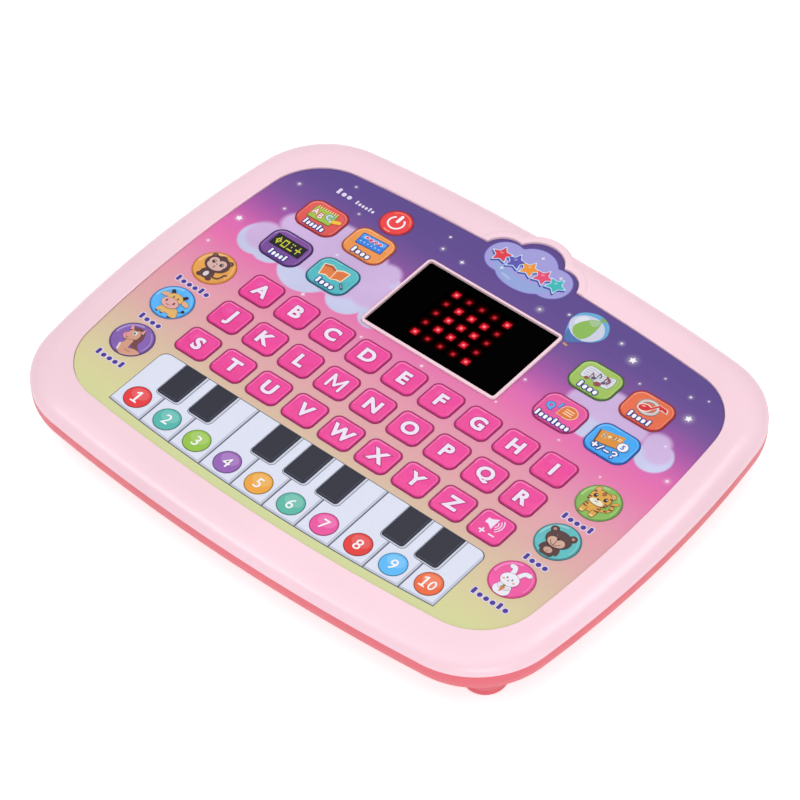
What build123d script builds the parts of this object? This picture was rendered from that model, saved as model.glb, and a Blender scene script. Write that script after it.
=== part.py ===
"""A kids toy tablet: a two-part housing with a printed keypad face, a dot display and a battery bay.

Millimetres, +Z up. The origin is the centre of the footprint, on the plane that the feet rest on. +X is to
the right and +Y to the back when the keypad is read.
"""

from build123d import *
import os
from collections import namedtuple

# ---- housing outline ----
body_width = 245.2
body_depth = 189.6
side_bow_radius = 458.0
end_bow_radius = 822.0
corner_radius = 34.7

# ---- heights ----
floor_z = 2.4  # the underside of the shell
seam_z = 20.0  # where the two housings meet
film_z = 24.4  # the printed face
rim_z = 25.2  # the crown of the rim round the face

# ---- shells ----
wall = 2.2
dish_curve_width = 24.5  # how far the lower shell's side curves in
dish_band = 2.2  # the straight band of the lower shell under the seam
rim_curve_width = 8.3  # how far the rim's shoulder curves in
rim_band = 0.6  # the straight band of the rim above the seam
core_overlap = 5.0
fit_gap = 0.15
skirt_thickness = 1.2
skirt_depth = 1.8
skirt_gap = 0.4
rim_edge_radius = 0.4
edge_tolerance = 0.02
root = 0.5  # how far a post or rib sinks into the wall it stands on
overcut = 1.0  # how far a cutting shape runs past what it cuts

# ---- feet ----
foot_x = 98.7
foot_y = 68.6
foot_tip_radius = 8.4
foot_waist_radius = 8.7
foot_waist_z = 4.0
foot_root_radius = 10.8  # where the foot flares into the shell
foot_root_z = 9.0
foot_edge_radius = 2.2

# ---- face layers, from the face down ----
film_width = 216.4
film_depth = 156.8
film_side_bow = 530.0
film_end_bow = 800.0
film_corner = 25.0
film_thickness = 0.3
spacer_thickness = 1.1
membrane_thickness = 0.3
deck_thickness = 1.8
spacer_top = film_z - film_thickness
spacer_bottom = spacer_top - spacer_thickness
deck_top = spacer_bottom - membrane_thickness
deck_bottom = deck_top - deck_thickness

# ---- cloud-shaped bump at the back of the face ----
Lobe = namedtuple("Lobe", "x y radius")
lobes = [Lobe(-12.5, 76.2, 9.0), Lobe(12.5, 76.2, 9.0), Lobe(0.0, 79.65, 11.5)]
lobe_lip = body_depth / 2 - lobes[2].y - lobes[2].radius
lobe_lip_rise = 0.3
lobe_edge_radius = 1.1

# ---- keys ----
key_pitch = 17.5
letter_width = 14.7
letter_depth = 13.6
letter_corner = 3.0
letter_row_y = 4.65  # the back row of letters
mode_width = 19.3
mode_depth = 15.4
mode_corner = 5.0
mode_outer_x = 78.2
mode_inner_x = 54.6
mode_back_y = 48.05
mode_front_y = 27.45
animal_radius = 8.5
power_radius = 6.7
key_rise = 0.3  # how far a key stands above the face
key_edge_radius = 0.2
key_gap = 0.15
flange_margin = 0.6
flange_thickness = 0.46
flange_gap = 0.02

# ---- display ----
display_y = 37.1
frame_width = 64.6
frame_depth = 41.3
frame_wall = 1.2
frame_corner = 2.2
frame_rise = 0.9
window_gap = 0.1
window_thickness = 1.2
window_ledge = 1.9
window_bottom = film_z - window_gap - window_thickness
dot_columns = 5
dot_pitch_x = 6.1
dot_pitch_y = 6.0
dots_x = -1.2  # the middle of the dots, which sit a little left of and behind the pane's middle
dots_y = 38.35
dot_size = 3.0
dot_height = 2.2
board_thickness = 1.2
display_board_width = 66.0
display_board_depth = 42.0
display_board_top = deck_bottom - fit_gap
stake_radius = 1.2
stake_x = 30.8
stake_y = 18.0
stake_end = 0.6  # how far a stake's tip stands out under the board

# ---- battery bay ----
cell_radius = 7.1
cell_length = 49.5
nub_radius = 2.75
nub_length = 1.0
nub_play = 0.4  # between a cell's nub and its contact
cell_pitch = 15.0
bay_y = -32.0
bay_width = 60.8
bay_depth = 45.8
bay_wall = 1.6
bay_roof = 1.3
bay_top = 19.1
ledge = 1.8
cover_thickness = 1.8
cover_gap = 0.25
cover_corner = 2.0
cover_tongue_width = 15.0
cover_tongue_length = 11.0
cover_screw_y = -62.3
cover_boss_height = 6.0
cover_seat = 1.0  # the depth of the recess for the screw's head
cover_head_height = 0.9
cover_shank_length = 6.5
cover_hole_gap = 0.15
grip_grooves = 4
grip_pitch = 2.6
grip_width = 18.0
grip_depth = 0.4
grip_y = -48.0  # the front groove
grip_share = 0.42  # the groove's share of the pitch
tab_x = 19.0
tab_width = 8.0
tab_reach = 3.2
tab_thickness = 1.2
tab_riser = 1.6
tab_slot_top = 8.5
tab_slot_depth = 5.2
contact_thickness = 0.4
contact_size = 11.0
contact_gap = 0.1
spring_radius = 3.4
spring_pitch = 1.9
spring_wire_radius = 0.35
spring_play = 2.0  # the room left along the bay when the cells and springs are in
lead_slot_low_z = 15.0
lead_slot_high_z = 17.0
lead_slot_width = 3.0

# ---- fasteners ----
case_screws = [(-84, 58), (84, 58), (-84, -58), (84, -58), (-42, -64), (42, -64), (0, 66)]
post_radius = 3.2
sleeve_radius = 4.4
seat_z = 8.0
seat_thickness = 1.5
case_head_radius = 2.6
case_head_height = 2.0
case_shank_radius = 1.25
case_shank_length = 9.0
shank_gap = 0.05
shank_clearance = 0.3
head_clearance = 0.45
small_head_radius = 3.0
small_head_height = 1.3
small_shank_radius = 1.0
small_shank_length = 5.0
recess_depth = 1.0
recess_width = 0.3  # as a share of the head's radius, like the next one
recess_length = 1.2

# ---- main board and speaker ----
main_board_x = 62.0
main_board_y = 17.0
main_board_width = 54.0
main_board_depth = 50.0
main_board_z = 9.0
main_board_thickness = 1.6
board_face = main_board_z + main_board_thickness
board_post_inset = 4.0
board_post_radius = 2.6
tail_width = 20.0
tail_x = 55.0
tail_y = 37.75
tail_slot = 1.4
tail_grip = 0.3  # how far the tail reaches into its socket
socket_height = 3.5
socket_depth = 3.6
socket_end = 1.5  # the socket's wall at each end of the tail, and its floor
Chip = namedtuple("Chip", "x y width depth height")
chips = [  # placed from the middle of the board: controller, memory, crystal and lead connector
    Chip(0.0, -2.0, 13.0, 13.0, 1.6),
    Chip(15.0, -12.0, 6.0, 5.0, 1.4),
    Chip(-15.0, -14.0, 10.0, 4.0, 1.8),
    Chip(-22.0, -5.0, 4.0, 8.0, 4.0),
]
connector = chips[3]
capacitor_radius = 3.1
capacitor_height = 6.5
capacitor_spots = [(-16.0, 2.0), (17.0, 4.0)]
speaker_x = -62.0
speaker_y = 12.0
speaker_radius = 20.0
speaker_seat_z = 7.6
speaker_flange = 1.2
speaker_post_top = speaker_seat_z + speaker_flange
speaker_seat_wall = 1.6
speaker_seat_inset = 1.0  # of the seat's ring from the flange's edge
speaker_post_ring = 22.2
speaker_post_radius = 2.0
speaker_cone_radius = 15.4
speaker_neck_radius = 17.6
magnet_radius = 10.6
magnet_low = 5.0
magnet_high = 9.6
coil_bore = 9.0
coil_depth = 1.0  # how far the voice coil reaches into the cone
speaker_lead_rise = 2.0  # from the magnet's lower edge to the leads' ends
cone_dust_radius = 6.4
cone_thickness = 0.4
cone_gap = 0.2  # between the paper cone's rim and the basket
cone_rim_width = 0.8
dust_cap_height = 1.6
dust_cap_rim = 0.6
grille_rings = 4
grille_pitch = 3.9
grille_hole_radius = 1.15
wire_radius = 0.7
wire_pitch = 2.4  # between leads that run side by side
speaker_lead_route = [(20.0, 14.0, 13.0), (-20.0, 9.0, 12.0)]  # points between the two ends
far_lead_bend = (48.0, -22.0, 14.0)
near_lead_bend = (44.0, -12.0, 14.0)
far_lead_end_x = 54.0
near_lead_end_x = 50.0
lead_landing = 5.0  # how far onto the main board a battery lead reaches
lead_reach = 3.0  # how far a battery lead runs straight out of the bay
display_lead_start = 1.5  # from the display board's right edge
display_lead_y = 9.0  # from the main board's middle to the front lead
display_lead_end = 17.0  # from the main board's middle to the leads' ends
display_lead_bend = (5.0, -2.0)  # along x and z from the start

Key = namedtuple("Key", "name x y plan")


# ---- outlines ----
def bowed_outline(width, depth, side_bow, end_bow, corner):
    """A rectangle whose four sides bow outward as arcs, with round corners."""
    outline = Pos(width / 2 - side_bow, 0) * Circle(side_bow)
    outline &= Pos(side_bow - width / 2, 0) * Circle(side_bow)
    outline &= Pos(0, depth / 2 - end_bow) * Circle(end_bow)
    outline &= Pos(0, end_bow - depth / 2) * Circle(end_bow)
    return fillet(outline.vertices(), corner)


def housing_outline(inset):
    """The housing's plan, moved inward by an even distance."""
    return bowed_outline(
        body_width - 2 * inset,
        body_depth - 2 * inset,
        side_bow_radius - inset,
        end_bow_radius - inset,
        corner_radius - inset,
    )


def film_plan(margin):
    """The plan of the face with its three cloud lobes, moved outward by a margin."""
    plan = bowed_outline(
        film_width + 2 * margin,
        film_depth + 2 * margin,
        film_side_bow + margin,
        film_end_bow + margin,
        film_corner + margin,
    )
    for lobe in lobes:
        plan += Pos(lobe.x, lobe.y) * Circle(lobe.radius + margin)
    return plan


def letter_plan(margin):
    return RectangleRounded(letter_width + 2 * margin, letter_depth + 2 * margin, letter_corner + margin)


def mode_plan(margin):
    return RectangleRounded(mode_width + 2 * margin, mode_depth + 2 * margin, mode_corner + margin)


def animal_plan(margin):
    return Circle(animal_radius + margin)


def power_plan(margin):
    return Circle(power_radius + margin)


def frame_plan(margin):
    """The plan of the raised frame round the display."""
    plan = RectangleRounded(frame_width + 2 * margin, frame_depth + 2 * margin, frame_corner + margin)
    return Pos(0, display_y) * plan


def window_plan(margin):
    """The plan of the opening inside the display frame."""
    inset = frame_wall - margin
    plan = RectangleRounded(frame_width - 2 * inset, frame_depth - 2 * inset, frame_corner - inset)
    return Pos(0, display_y) * plan


def light_plan():
    """The plan of the opening under the window, which leaves a ledge for the pane."""
    inset = frame_wall + window_ledge
    return Pos(0, display_y) * Rectangle(frame_width - 2 * inset, frame_depth - 2 * inset)


def key_list():
    """Every key with its name, place and plan."""
    keys = []
    rows = ["abcdefghi", "jklmnopqr", "stuvwxyz"]
    for row, letters in enumerate(rows):
        names = [f"key_{letter}" for letter in letters]
        if row == 2:
            names.append("key_volume")
        for column, name in enumerate(names):
            keys.append(Key(name, (column - 4) * key_pitch, letter_row_y - row * key_pitch, letter_plan))
    modes = {
        "mode_notebook": (-mode_outer_x, mode_back_y),
        "mode_word_card": (-mode_inner_x, mode_back_y),
        "mode_spelling": (-mode_outer_x, mode_front_y),
        "mode_book": (-mode_inner_x, mode_front_y),
        "mode_song": (mode_inner_x, mode_back_y),
        "mode_music": (mode_outer_x, mode_back_y),
        "mode_question": (mode_inner_x, mode_front_y),
        "mode_sums": (mode_outer_x, mode_front_y),
    }
    keys += [Key(name, x, y, mode_plan) for name, (x, y) in modes.items()]
    animals = {
        "animal_monkey": (-92.0, 2.45),
        "animal_calf": (-92.0, -20.75),
        "animal_horse": (-90.5, -44.05),
        "animal_tiger": (92.0, 2.45),
        "animal_bear": (92.0, -20.75),
        "animal_rabbit": (90.5, -44.05),
    }
    keys += [Key(name, x, y, animal_plan) for name, (x, y) in animals.items()]
    keys.append(Key("power_key", -54.7, 64.1, power_plan))
    return keys


# ---- helpers ----
def slab(plan, low_z, high_z):
    """A flat plate with the given plan between two heights."""
    return Pos(0, 0, low_z) * extrude(plan, high_z - low_z)


def block(x, y, low_z, high_z, width, depth):
    """A box centred in plan on x, y."""
    return slab(Pos(x, y) * Rectangle(width, depth), low_z, high_z)


def rod(x, y, low_z, high_z, radius):
    """An upright cylinder."""
    return slab(Pos(x, y) * Circle(radius), low_z, high_z)


def curved_slab(inset, curve_width, rise):
    """A slab whose side curves as a quarter ellipse from the outline at z=0 to its flat face at z=rise."""
    path = housing_outline(inset).wire()
    forward = path % 0
    section_plane = Plane(origin=path @ 0, x_dir=forward.cross(Vector(0, 0, 1)), z_dir=-forward)
    start_angle = 0 if rise > 0 else 270
    curve = EllipticalCenterArc((-curve_width, 0), curve_width, abs(rise), start_angle, arc_size=90)
    back = -curve_width - core_overlap
    flat_side = Polyline((-curve_width, rise), (back, rise), (back, 0), (0, 0))
    section = make_face(curve.edges() + flat_side.edges())
    ring = sweep(section_plane * section, path=path)
    core = extrude(housing_outline(inset + curve_width + core_overlap / 2), rise)
    return ring + core


def screw(head_radius, head_height, shank_radius, shank_length):
    """A screw with its head's seat at z=0, its shank along +Z and a cross recess in the head."""
    body = rod(0, 0, -head_height, 0, head_radius) + rod(0, 0, 0, shank_length, shank_radius)
    slot_length = head_radius * recess_length
    slot = block(0, 0, -head_height, recess_depth - head_height, slot_length, head_radius * recess_width)
    return body - slot - Rot(0, 0, 90) * slot


# ---- housings ----
def speaker_posts():
    """The centres of the posts that hold the speaker's flange."""
    ring = PolarLocations(speaker_post_ring, 3)
    return [(speaker_x + spot.position.X, speaker_y + spot.position.Y) for spot in ring]


def board_posts():
    """The centres of the posts that carry the main board."""
    reach_x = main_board_width / 2 - board_post_inset
    reach_y = main_board_depth / 2 - board_post_inset
    return [(main_board_x + sx * reach_x, main_board_y + sy * reach_y) for sx in (-1, 1) for sy in (-1, 1)]


def cloud_lip():
    """The raised lip that runs round the cloud lobes."""
    plan = Sketch()
    for lobe in lobes:
        plan += Pos(lobe.x, lobe.y) * Circle(lobe.radius + lobe_lip)
    lip = slab(plan, seam_z, rim_z + lobe_lip_rise)
    return fillet(lip.edges().group_by(Axis.Z)[-1], lobe_edge_radius)


def rim_hollow():
    """The channel that thins the rim from below."""
    channel = curved_slab(wall, rim_curve_width - wall, rim_z - seam_z - wall)
    keep = extrude(housing_outline(rim_curve_width + wall), rim_z - seam_z)
    return Pos(0, 0, seam_z) * (channel - keep)


def rim_inner_edges(shell):
    """The edges where the rim and the cloud lip drop to the face."""
    boundary = film_plan(fit_gap).wire()
    found = []
    for edge in shell.edges():
        middle = edge @ 0.5
        level = abs((edge @ 0).Z - (edge @ 1).Z) < edge_tolerance
        on_boundary = boundary.distance_to(Vector(middle.X, middle.Y, 0)) < edge_tolerance
        if level and on_boundary and middle.Z > rim_z - edge_tolerance:
            found.append(edge)
    return found


def top_housing():
    """The upper shell: rim, cloud lip, display frame, key deck, screw posts and board stakes."""
    shell = slab(housing_outline(0), seam_z, seam_z + rim_band)
    shell += Pos(0, 0, seam_z + rim_band) * curved_slab(0, rim_curve_width, rim_z - seam_z - rim_band)
    shell -= rim_hollow()
    shell += cloud_lip()
    shell -= slab(film_plan(fit_gap), deck_top, rim_z + overcut)
    shell = fillet(rim_inner_edges(shell), rim_edge_radius)
    shell += display_frame()
    shell -= slab(window_plan(0), window_bottom, rim_z + overcut)
    shell -= slab(light_plan(), seam_z - overcut, rim_z)
    slot_width = tail_width + 2 * fit_gap
    shell -= block(tail_x, tail_y, seam_z - overcut, deck_top + overcut, slot_width, tail_slot)
    shell -= slab(housing_outline(rim_curve_width + wall), seam_z - overcut, deck_bottom)
    skirt_inset = wall + skirt_gap
    skirt = housing_outline(skirt_inset) - housing_outline(skirt_inset + skirt_thickness)
    shell += slab(skirt, seam_z - skirt_depth, seam_z + root)
    for x, y in case_screws:
        shell += rod(x, y, seat_z + fit_gap, deck_bottom + root, post_radius)
        bore_top = seat_z + case_shank_length
        shell -= rod(x, y, seat_z, bore_top, case_shank_radius + shank_gap)
    stake_bottom = display_board_top - board_thickness - stake_end
    for x, y in display_stakes():
        shell += rod(x, y, stake_bottom, deck_bottom + root, stake_radius)
    return shell


def display_stakes():
    """The centres of the stakes that the display board sits on."""
    return [(sx * stake_x, display_y + sy * stake_y) for sx in (-1, 1) for sy in (-1, 1)]


def display_frame():
    """The raised frame round the display window."""
    frame = slab(frame_plan(0), deck_bottom, film_z + frame_rise)
    return fillet(frame.edges().group_by(Axis.Z)[-1], rim_edge_radius)


def cover_plan(margin):
    """The battery cover's plan with the tongue that carries its screw."""
    main = Rectangle(bay_width + 2 * (ledge + margin), bay_depth + 2 * (ledge + margin))
    front = -bay_depth / 2 - ledge
    tongue_length = cover_tongue_length + 2 * margin
    tongue = Rectangle(cover_tongue_width + 2 * margin, tongue_length)
    plan = main + Pos(0, front - tongue_length / 2 + margin) * tongue
    return Pos(0, bay_y) * fillet(plan.vertices(), cover_corner)


def bay_box(margin, low_z, high_z):
    """A box that follows the battery bay's inside, moved outward by a margin."""
    return block(0, bay_y, low_z, high_z, bay_width + 2 * margin, bay_depth + 2 * margin)


def tab_slots():
    """The slots that the cover's two tabs reach through, over the lip of the floor."""
    edge_y = bay_y + bay_depth / 2
    slots = None
    for x in (-tab_x, tab_x):
        width = tab_width + 2 * skirt_gap
        over_ledge = block(x, edge_y + ledge / 2, floor_z + cover_thickness, tab_slot_top, width, ledge)
        floor_y = edge_y + ledge + tab_slot_depth / 2
        over_floor = block(x, floor_y, floor_z + wall, tab_slot_top, width, tab_slot_depth)
        slots = over_ledge + over_floor if slots is None else slots + over_ledge + over_floor
    return slots


def foot(x, y):
    """A moulded foot with a flat tip and a flared root."""
    flare_height = foot_root_z - foot_waist_z
    tip = Pos(x, y, foot_waist_z / 2) * Cone(foot_tip_radius, foot_waist_radius, foot_waist_z)
    tip = fillet(tip.edges().group_by(Axis.Z)[0], foot_edge_radius)
    flare = Cone(foot_waist_radius, foot_root_radius, flare_height)
    return tip + Pos(x, y, foot_waist_z + flare_height / 2) * flare


def grille_spots():
    """The centres of the speaker grille's holes, on rings round the speaker's axis."""
    spots = [(speaker_x, speaker_y)]
    for ring in range(1, grille_rings):
        for spot in PolarLocations(ring * grille_pitch, 6 * ring):
            spots.append((speaker_x + spot.position.X, speaker_y + spot.position.Y))
    return spots


def bottom_housing():
    """The lower shell: dish, feet, battery bay, screw sleeves, board posts and speaker seat."""
    curve_z = seam_z - dish_band
    depth = curve_z - floor_z
    shell = slab(housing_outline(0), curve_z, seam_z)
    shell += Pos(0, 0, curve_z) * curved_slab(0, dish_curve_width, -depth)
    for sx in (-1, 1):
        for sy in (-1, 1):
            shell += foot(sx * foot_x, sy * foot_y)
    shell -= slab(housing_outline(wall), curve_z, seam_z)
    shell -= Pos(0, 0, curve_z) * curved_slab(wall, dish_curve_width - wall, wall - depth)
    shell += bay_box(ledge + bay_wall, floor_z + root, bay_top + bay_roof)
    boss_top = floor_z + wall + cover_boss_height
    shell += rod(0, cover_screw_y, floor_z + root, boss_top, sleeve_radius)
    shell -= bay_box(0, floor_z, bay_top)
    shell -= slab(cover_plan(cover_gap), floor_z - overcut, floor_z + cover_thickness + shank_gap)
    shell -= tab_slots()
    shell -= rod(0, cover_screw_y, floor_z, boss_top + overcut, case_shank_radius + head_clearance)
    for x, y in case_screws:
        shell += rod(x, y, floor_z + root, seat_z, sleeve_radius)
        shell -= rod(x, y, floor_z - overcut, seat_z - seat_thickness, case_head_radius + head_clearance)
        shell -= rod(x, y, floor_z, seat_z + overcut, case_shank_radius + shank_clearance)
    for x, y in board_posts():
        shell += rod(x, y, floor_z + root, main_board_z, board_post_radius)
        shell -= rod(x, y, floor_z + wall, main_board_z + overcut, small_shank_radius + shank_gap)
    shell += speaker_seat()
    for x, y in speaker_posts():
        shell -= rod(x, y, floor_z + root, speaker_post_top + overcut, small_shank_radius + shank_gap)
    for x, y in grille_spots():
        shell -= rod(x, y, floor_z - overcut, floor_z + wall + overcut, grille_hole_radius)
    slot_x = bay_width / 2 + ledge
    for y in lead_slots():
        slot_length = 2 * (ledge + bay_wall)
        shell -= block(slot_x, y, lead_slot_low_z, lead_slot_high_z, slot_length, lead_slot_width)
    return shell


def speaker_seat():
    """The ring under the speaker's flange and the posts beside it."""
    outer = speaker_radius - speaker_seat_inset
    ring = Circle(outer) - Circle(outer - speaker_seat_wall)
    seat = slab(Pos(speaker_x, speaker_y) * ring, floor_z + root, speaker_seat_z)
    for x, y in speaker_posts():
        seat += rod(x, y, floor_z + root, speaker_post_top, speaker_post_radius)
    return seat


def lead_slots():
    """The y of each slot that lets a battery lead out of the bay."""
    return [bay_y - cell_pitch, bay_y + cell_pitch]


# ---- face layers ----
def face_film(keys):
    """The printed face, with an opening for each key and for the display frame."""
    plan = film_plan(0) - frame_plan(fit_gap)
    for key in keys:
        plan -= Pos(key.x, key.y) * key.plan(key_gap)
    return slab(plan, spacer_top, film_z)


def spacer_sheet(keys):
    """The foam sheet under the face, with a pocket for each key's flange."""
    plan = film_plan(0) - frame_plan(fit_gap)
    for key in keys:
        plan -= Pos(key.x, key.y) * key.plan(flange_margin + key_gap)
    return slab(plan, spacer_bottom, spacer_top)


def circuit_membrane():
    """The switch sheet on the deck, with its tail bent down to the main board."""
    sheet = slab(film_plan(0) - frame_plan(fit_gap), deck_top, spacer_bottom)
    tail_end = board_face + socket_height - tail_grip
    tail_start = deck_top + membrane_thickness / 2
    return sheet + block(tail_x, tail_y, tail_end, tail_start, tail_width, membrane_thickness)


def key_pad(key):
    """One key: a pad with a rounded top edge and the flange that the face holds it by."""
    flange_top = spacer_top - flange_gap
    flange_bottom = flange_top - flange_thickness
    pad = slab(key.plan(0), flange_bottom, film_z + key_rise)
    pad = fillet(pad.edges().group_by(Axis.Z)[-1], key_edge_radius)
    pad += slab(key.plan(flange_margin), flange_bottom, flange_top)
    return Pos(key.x, key.y, 0) * pad


# ---- display ----
def display_window():
    """The smoked pane over the dots."""
    return slab(window_plan(-window_gap), window_bottom, window_bottom + window_thickness)


def display_dots():
    """The square lamps of the dot display."""
    dots = []
    middle = (dot_columns - 1) / 2
    for column in range(dot_columns):
        for row in range(dot_columns):
            x = dots_x + (column - middle) * dot_pitch_x
            y = dots_y + (row - middle) * dot_pitch_y
            dots.append(block(x, y, display_board_top, display_board_top + dot_height, dot_size, dot_size))
    return Compound(children=dots)


def display_board():
    """The board that carries the dots, held on the housing's stakes."""
    low_z = display_board_top - board_thickness
    board = block(0, display_y, low_z, display_board_top, display_board_width, display_board_depth)
    for x, y in display_stakes():
        board -= rod(x, y, low_z - overcut, display_board_top + overcut, stake_radius + fit_gap)
    return board


# ---- electronics ----
def main_board():
    """The board with the sound chip, screwed to its four posts."""
    board = block(main_board_x, main_board_y, main_board_z, board_face, main_board_width, main_board_depth)
    for x, y in board_posts():
        hole_radius = small_shank_radius + shank_clearance
        board -= rod(x, y, main_board_z - overcut, board_face + overcut, hole_radius)
    return board


def board_parts():
    """The parts soldered to the main board: chips, connector, capacitors and the membrane's socket."""
    place = Pos(main_board_x, main_board_y)
    parts = [place * block(c.x, c.y, board_face, board_face + c.height, c.width, c.depth) for c in chips]
    for x, y in capacitor_spots:
        parts.append(place * rod(x, y, board_face, board_face + capacitor_height, capacitor_radius))
    socket_top = board_face + socket_height
    socket = block(tail_x, tail_y, board_face, socket_top, tail_width + 2 * socket_end, socket_depth)
    slit_width = membrane_thickness + 2 * fit_gap
    slit_length = tail_width + 2 * fit_gap
    socket -= block(tail_x, tail_y, board_face + socket_end, socket_top + overcut, slit_length, slit_width)
    parts.append(socket)
    return Compound(children=parts)


def speaker():
    """A small loudspeaker that faces down: pressed basket with its magnet, and a paper cone."""
    basket_line = [
        (speaker_cone_radius, 0),
        (speaker_radius, 0),
        (speaker_radius, speaker_flange),
        (speaker_neck_radius, speaker_flange),
        (magnet_radius, magnet_low),
        (magnet_radius, magnet_high),
        (0, magnet_high),
        (0, magnet_low + cone_thickness),
        (coil_bore, magnet_low + cone_thickness),
        (coil_bore, magnet_low - coil_depth),
    ]
    cone_rim = speaker_cone_radius - cone_gap
    cone_top = magnet_low - cone_thickness
    cone_line = [
        (cone_rim, cone_thickness / 2),
        (cone_rim, cone_thickness * 1.5),
        (cone_dust_radius, cone_top),
        (0, cone_top - dust_cap_height),
        (0, cone_top - dust_cap_height - cone_thickness),
        (cone_dust_radius, cone_top - dust_cap_rim),
        (cone_rim - cone_rim_width, cone_thickness / 2),
    ]
    place = Pos(speaker_x, speaker_y, speaker_seat_z)
    turned = [revolve(Plane.XZ * Polygon(*line, align=None), Axis.Z) for line in (basket_line, cone_line)]
    return Compound(children=[place * piece for piece in turned])


# ---- power ----
def cell_rows():
    """Each cell's y and the way its nub points; neighbours point opposite ways."""
    return [(bay_y - cell_pitch, 1), (bay_y, -1), (bay_y + cell_pitch, 1)]


def cell_middle_z():
    return (floor_z + cover_thickness + bay_top) / 2


def battery_cells():
    """Three round cells, each with its nub."""
    cells = []
    nub_x = bay_width / 2 - 2 * contact_gap - contact_thickness - nub_play
    for y, way in cell_rows():
        body = rod(0, 0, 0, cell_length, cell_radius)
        body = fillet(body.edges().filter_by(GeomType.CIRCLE), rim_edge_radius)
        body += rod(0, 0, cell_length, cell_length + nub_length, nub_radius)
        start = Pos(way * (nub_x - cell_length - nub_length), y, cell_middle_z())
        cells.append(start * Rot(0, 90 * way, 0) * body)
    return Compound(children=cells)


def battery_contacts():
    """The contact plate at both ends of each cell, and each cell's spring."""
    pieces = []
    plate_x = bay_width / 2 - contact_gap - contact_thickness / 2
    middle_z = cell_middle_z()
    low_z = middle_z - contact_size / 2
    high_z = middle_z + contact_size / 2
    room = bay_width - 2 * contact_gap - contact_thickness - cell_length - nub_length
    spring_length = room - spring_play
    for y, way in cell_rows():
        for side in (-1, 1):
            pieces.append(block(side * plate_x, y, low_z, high_z, contact_thickness, contact_size))
        coil = Helix(pitch=spring_pitch, height=spring_length, radius=spring_radius)
        wire_plane = Plane(origin=coil @ 0, z_dir=coil % 0)
        wire = sweep(wire_plane * Circle(spring_wire_radius), path=coil, is_frenet=True)
        spring_x = -way * (plate_x - contact_thickness / 2 - spring_wire_radius - contact_gap)
        pieces.append(Pos(spring_x, y, middle_z) * Rot(0, 90 * way, 0) * wire)
    return Compound(children=pieces)


def battery_cover():
    """The cover in the floor, with two tabs at its back edge, a seat for its screw and a ribbed grip."""
    top = floor_z + cover_thickness
    cover = slab(cover_plan(0), floor_z, top)
    back_edge = bay_y + bay_depth / 2 + ledge
    tab_low = floor_z + wall + fit_gap
    tab_high = tab_low + tab_thickness
    tab_depth = tab_reach + tab_riser
    for x in (-tab_x, tab_x):
        cover += block(x, back_edge - tab_riser / 2, top - root, tab_high, tab_width, tab_riser)
        cover += block(x, back_edge - tab_riser + tab_depth / 2, tab_low, tab_high, tab_width, tab_depth)
    cover -= rod(0, cover_screw_y, floor_z - overcut, top + overcut, case_shank_radius + cover_hole_gap)
    seat_radius = case_head_radius + cover_hole_gap
    cover -= rod(0, cover_screw_y, floor_z - overcut, floor_z + cover_seat, seat_radius)
    for groove in range(grip_grooves):
        y = grip_y + groove * grip_pitch
        cover -= block(0, y, floor_z - overcut, floor_z + grip_depth, grip_width, grip_pitch * grip_share)
    return cover


def battery_cover_screw():
    fastener = screw(case_head_radius, cover_head_height, case_shank_radius, cover_shank_length)
    return Pos(0, cover_screw_y, floor_z + cover_seat) * fastener


def housing_screws():
    """The screws that pull the two housings together."""
    fastener = screw(case_head_radius, case_head_height, case_shank_radius, case_shank_length)
    return Compound(children=[Pos(x, y, seat_z - seat_thickness) * fastener for x, y in case_screws])


def small_screws():
    """The screws that hold the main board and the speaker."""
    fastener = screw(small_head_radius, small_head_height, small_shank_radius, small_shank_length)
    fastener = Rot(180, 0, 0) * fastener
    screws = [Pos(x, y, board_face) * fastener for x, y in board_posts()]
    screws += [Pos(x, y, speaker_post_top + shank_gap / 2) * fastener for x, y in speaker_posts()]
    return Compound(children=screws)


def lead(*points):
    """A round insulated wire along a smooth line through the points."""
    line = Spline(*points)
    return sweep(Plane(origin=line @ 0, z_dir=line % 0) * Circle(wire_radius), path=line)


def speaker_leads():
    """The pair from the connector on the main board across to the back of the speaker."""
    start_x = main_board_x + connector.x
    start_y = main_board_y + connector.y
    start_z = board_face + connector.height + wire_radius + root
    end_x = speaker_x + magnet_radius + 2 * wire_radius
    end_z = speaker_seat_z + magnet_low + speaker_lead_rise
    wires = []
    for side in (-1, 1):
        shift = side * wire_pitch / 2
        start = (start_x, start_y + 2 * shift, start_z)
        middle = [(x, y + shift, z) for x, y, z in speaker_lead_route]
        wires.append(lead(start, *middle, (end_x, speaker_y + 2 * shift, end_z)))
    return wires


def battery_leads():
    """The two leads from the outer cells' contacts, out through the bay's slots, to the main board."""
    start_x = bay_width / 2 + fit_gap
    slot_z = (lead_slot_low_z + lead_slot_high_z) / 2
    outside = bay_width / 2 + ledge + bay_wall + lead_reach
    end_y = main_board_y - main_board_depth / 2 + lead_landing
    end_z = board_face + wire_radius + shank_gap
    bends = [far_lead_bend, near_lead_bend]
    end_xs = [far_lead_end_x, near_lead_end_x]
    wires = []
    for y, bend, end_x in zip(lead_slots(), bends, end_xs):
        wires.append(lead((start_x, y, slot_z), (outside, y, slot_z), bend, (end_x, end_y, end_z)))
    return wires


def display_leads():
    """The three leads from the display board down to the main board."""
    start_x = display_board_width / 2 - display_lead_start
    start_z = display_board_top - board_thickness - wire_radius - shank_gap
    end_x = main_board_x - display_lead_end
    end_z = board_face + wire_radius + shank_gap
    along, down = display_lead_bend
    wires = []
    for number in range(3):
        y = main_board_y + display_lead_y + number * wire_pitch
        wires.append(lead((start_x, y, start_z), (start_x + along, y, start_z + down), (end_x, y, end_z)))
    return wires


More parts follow.
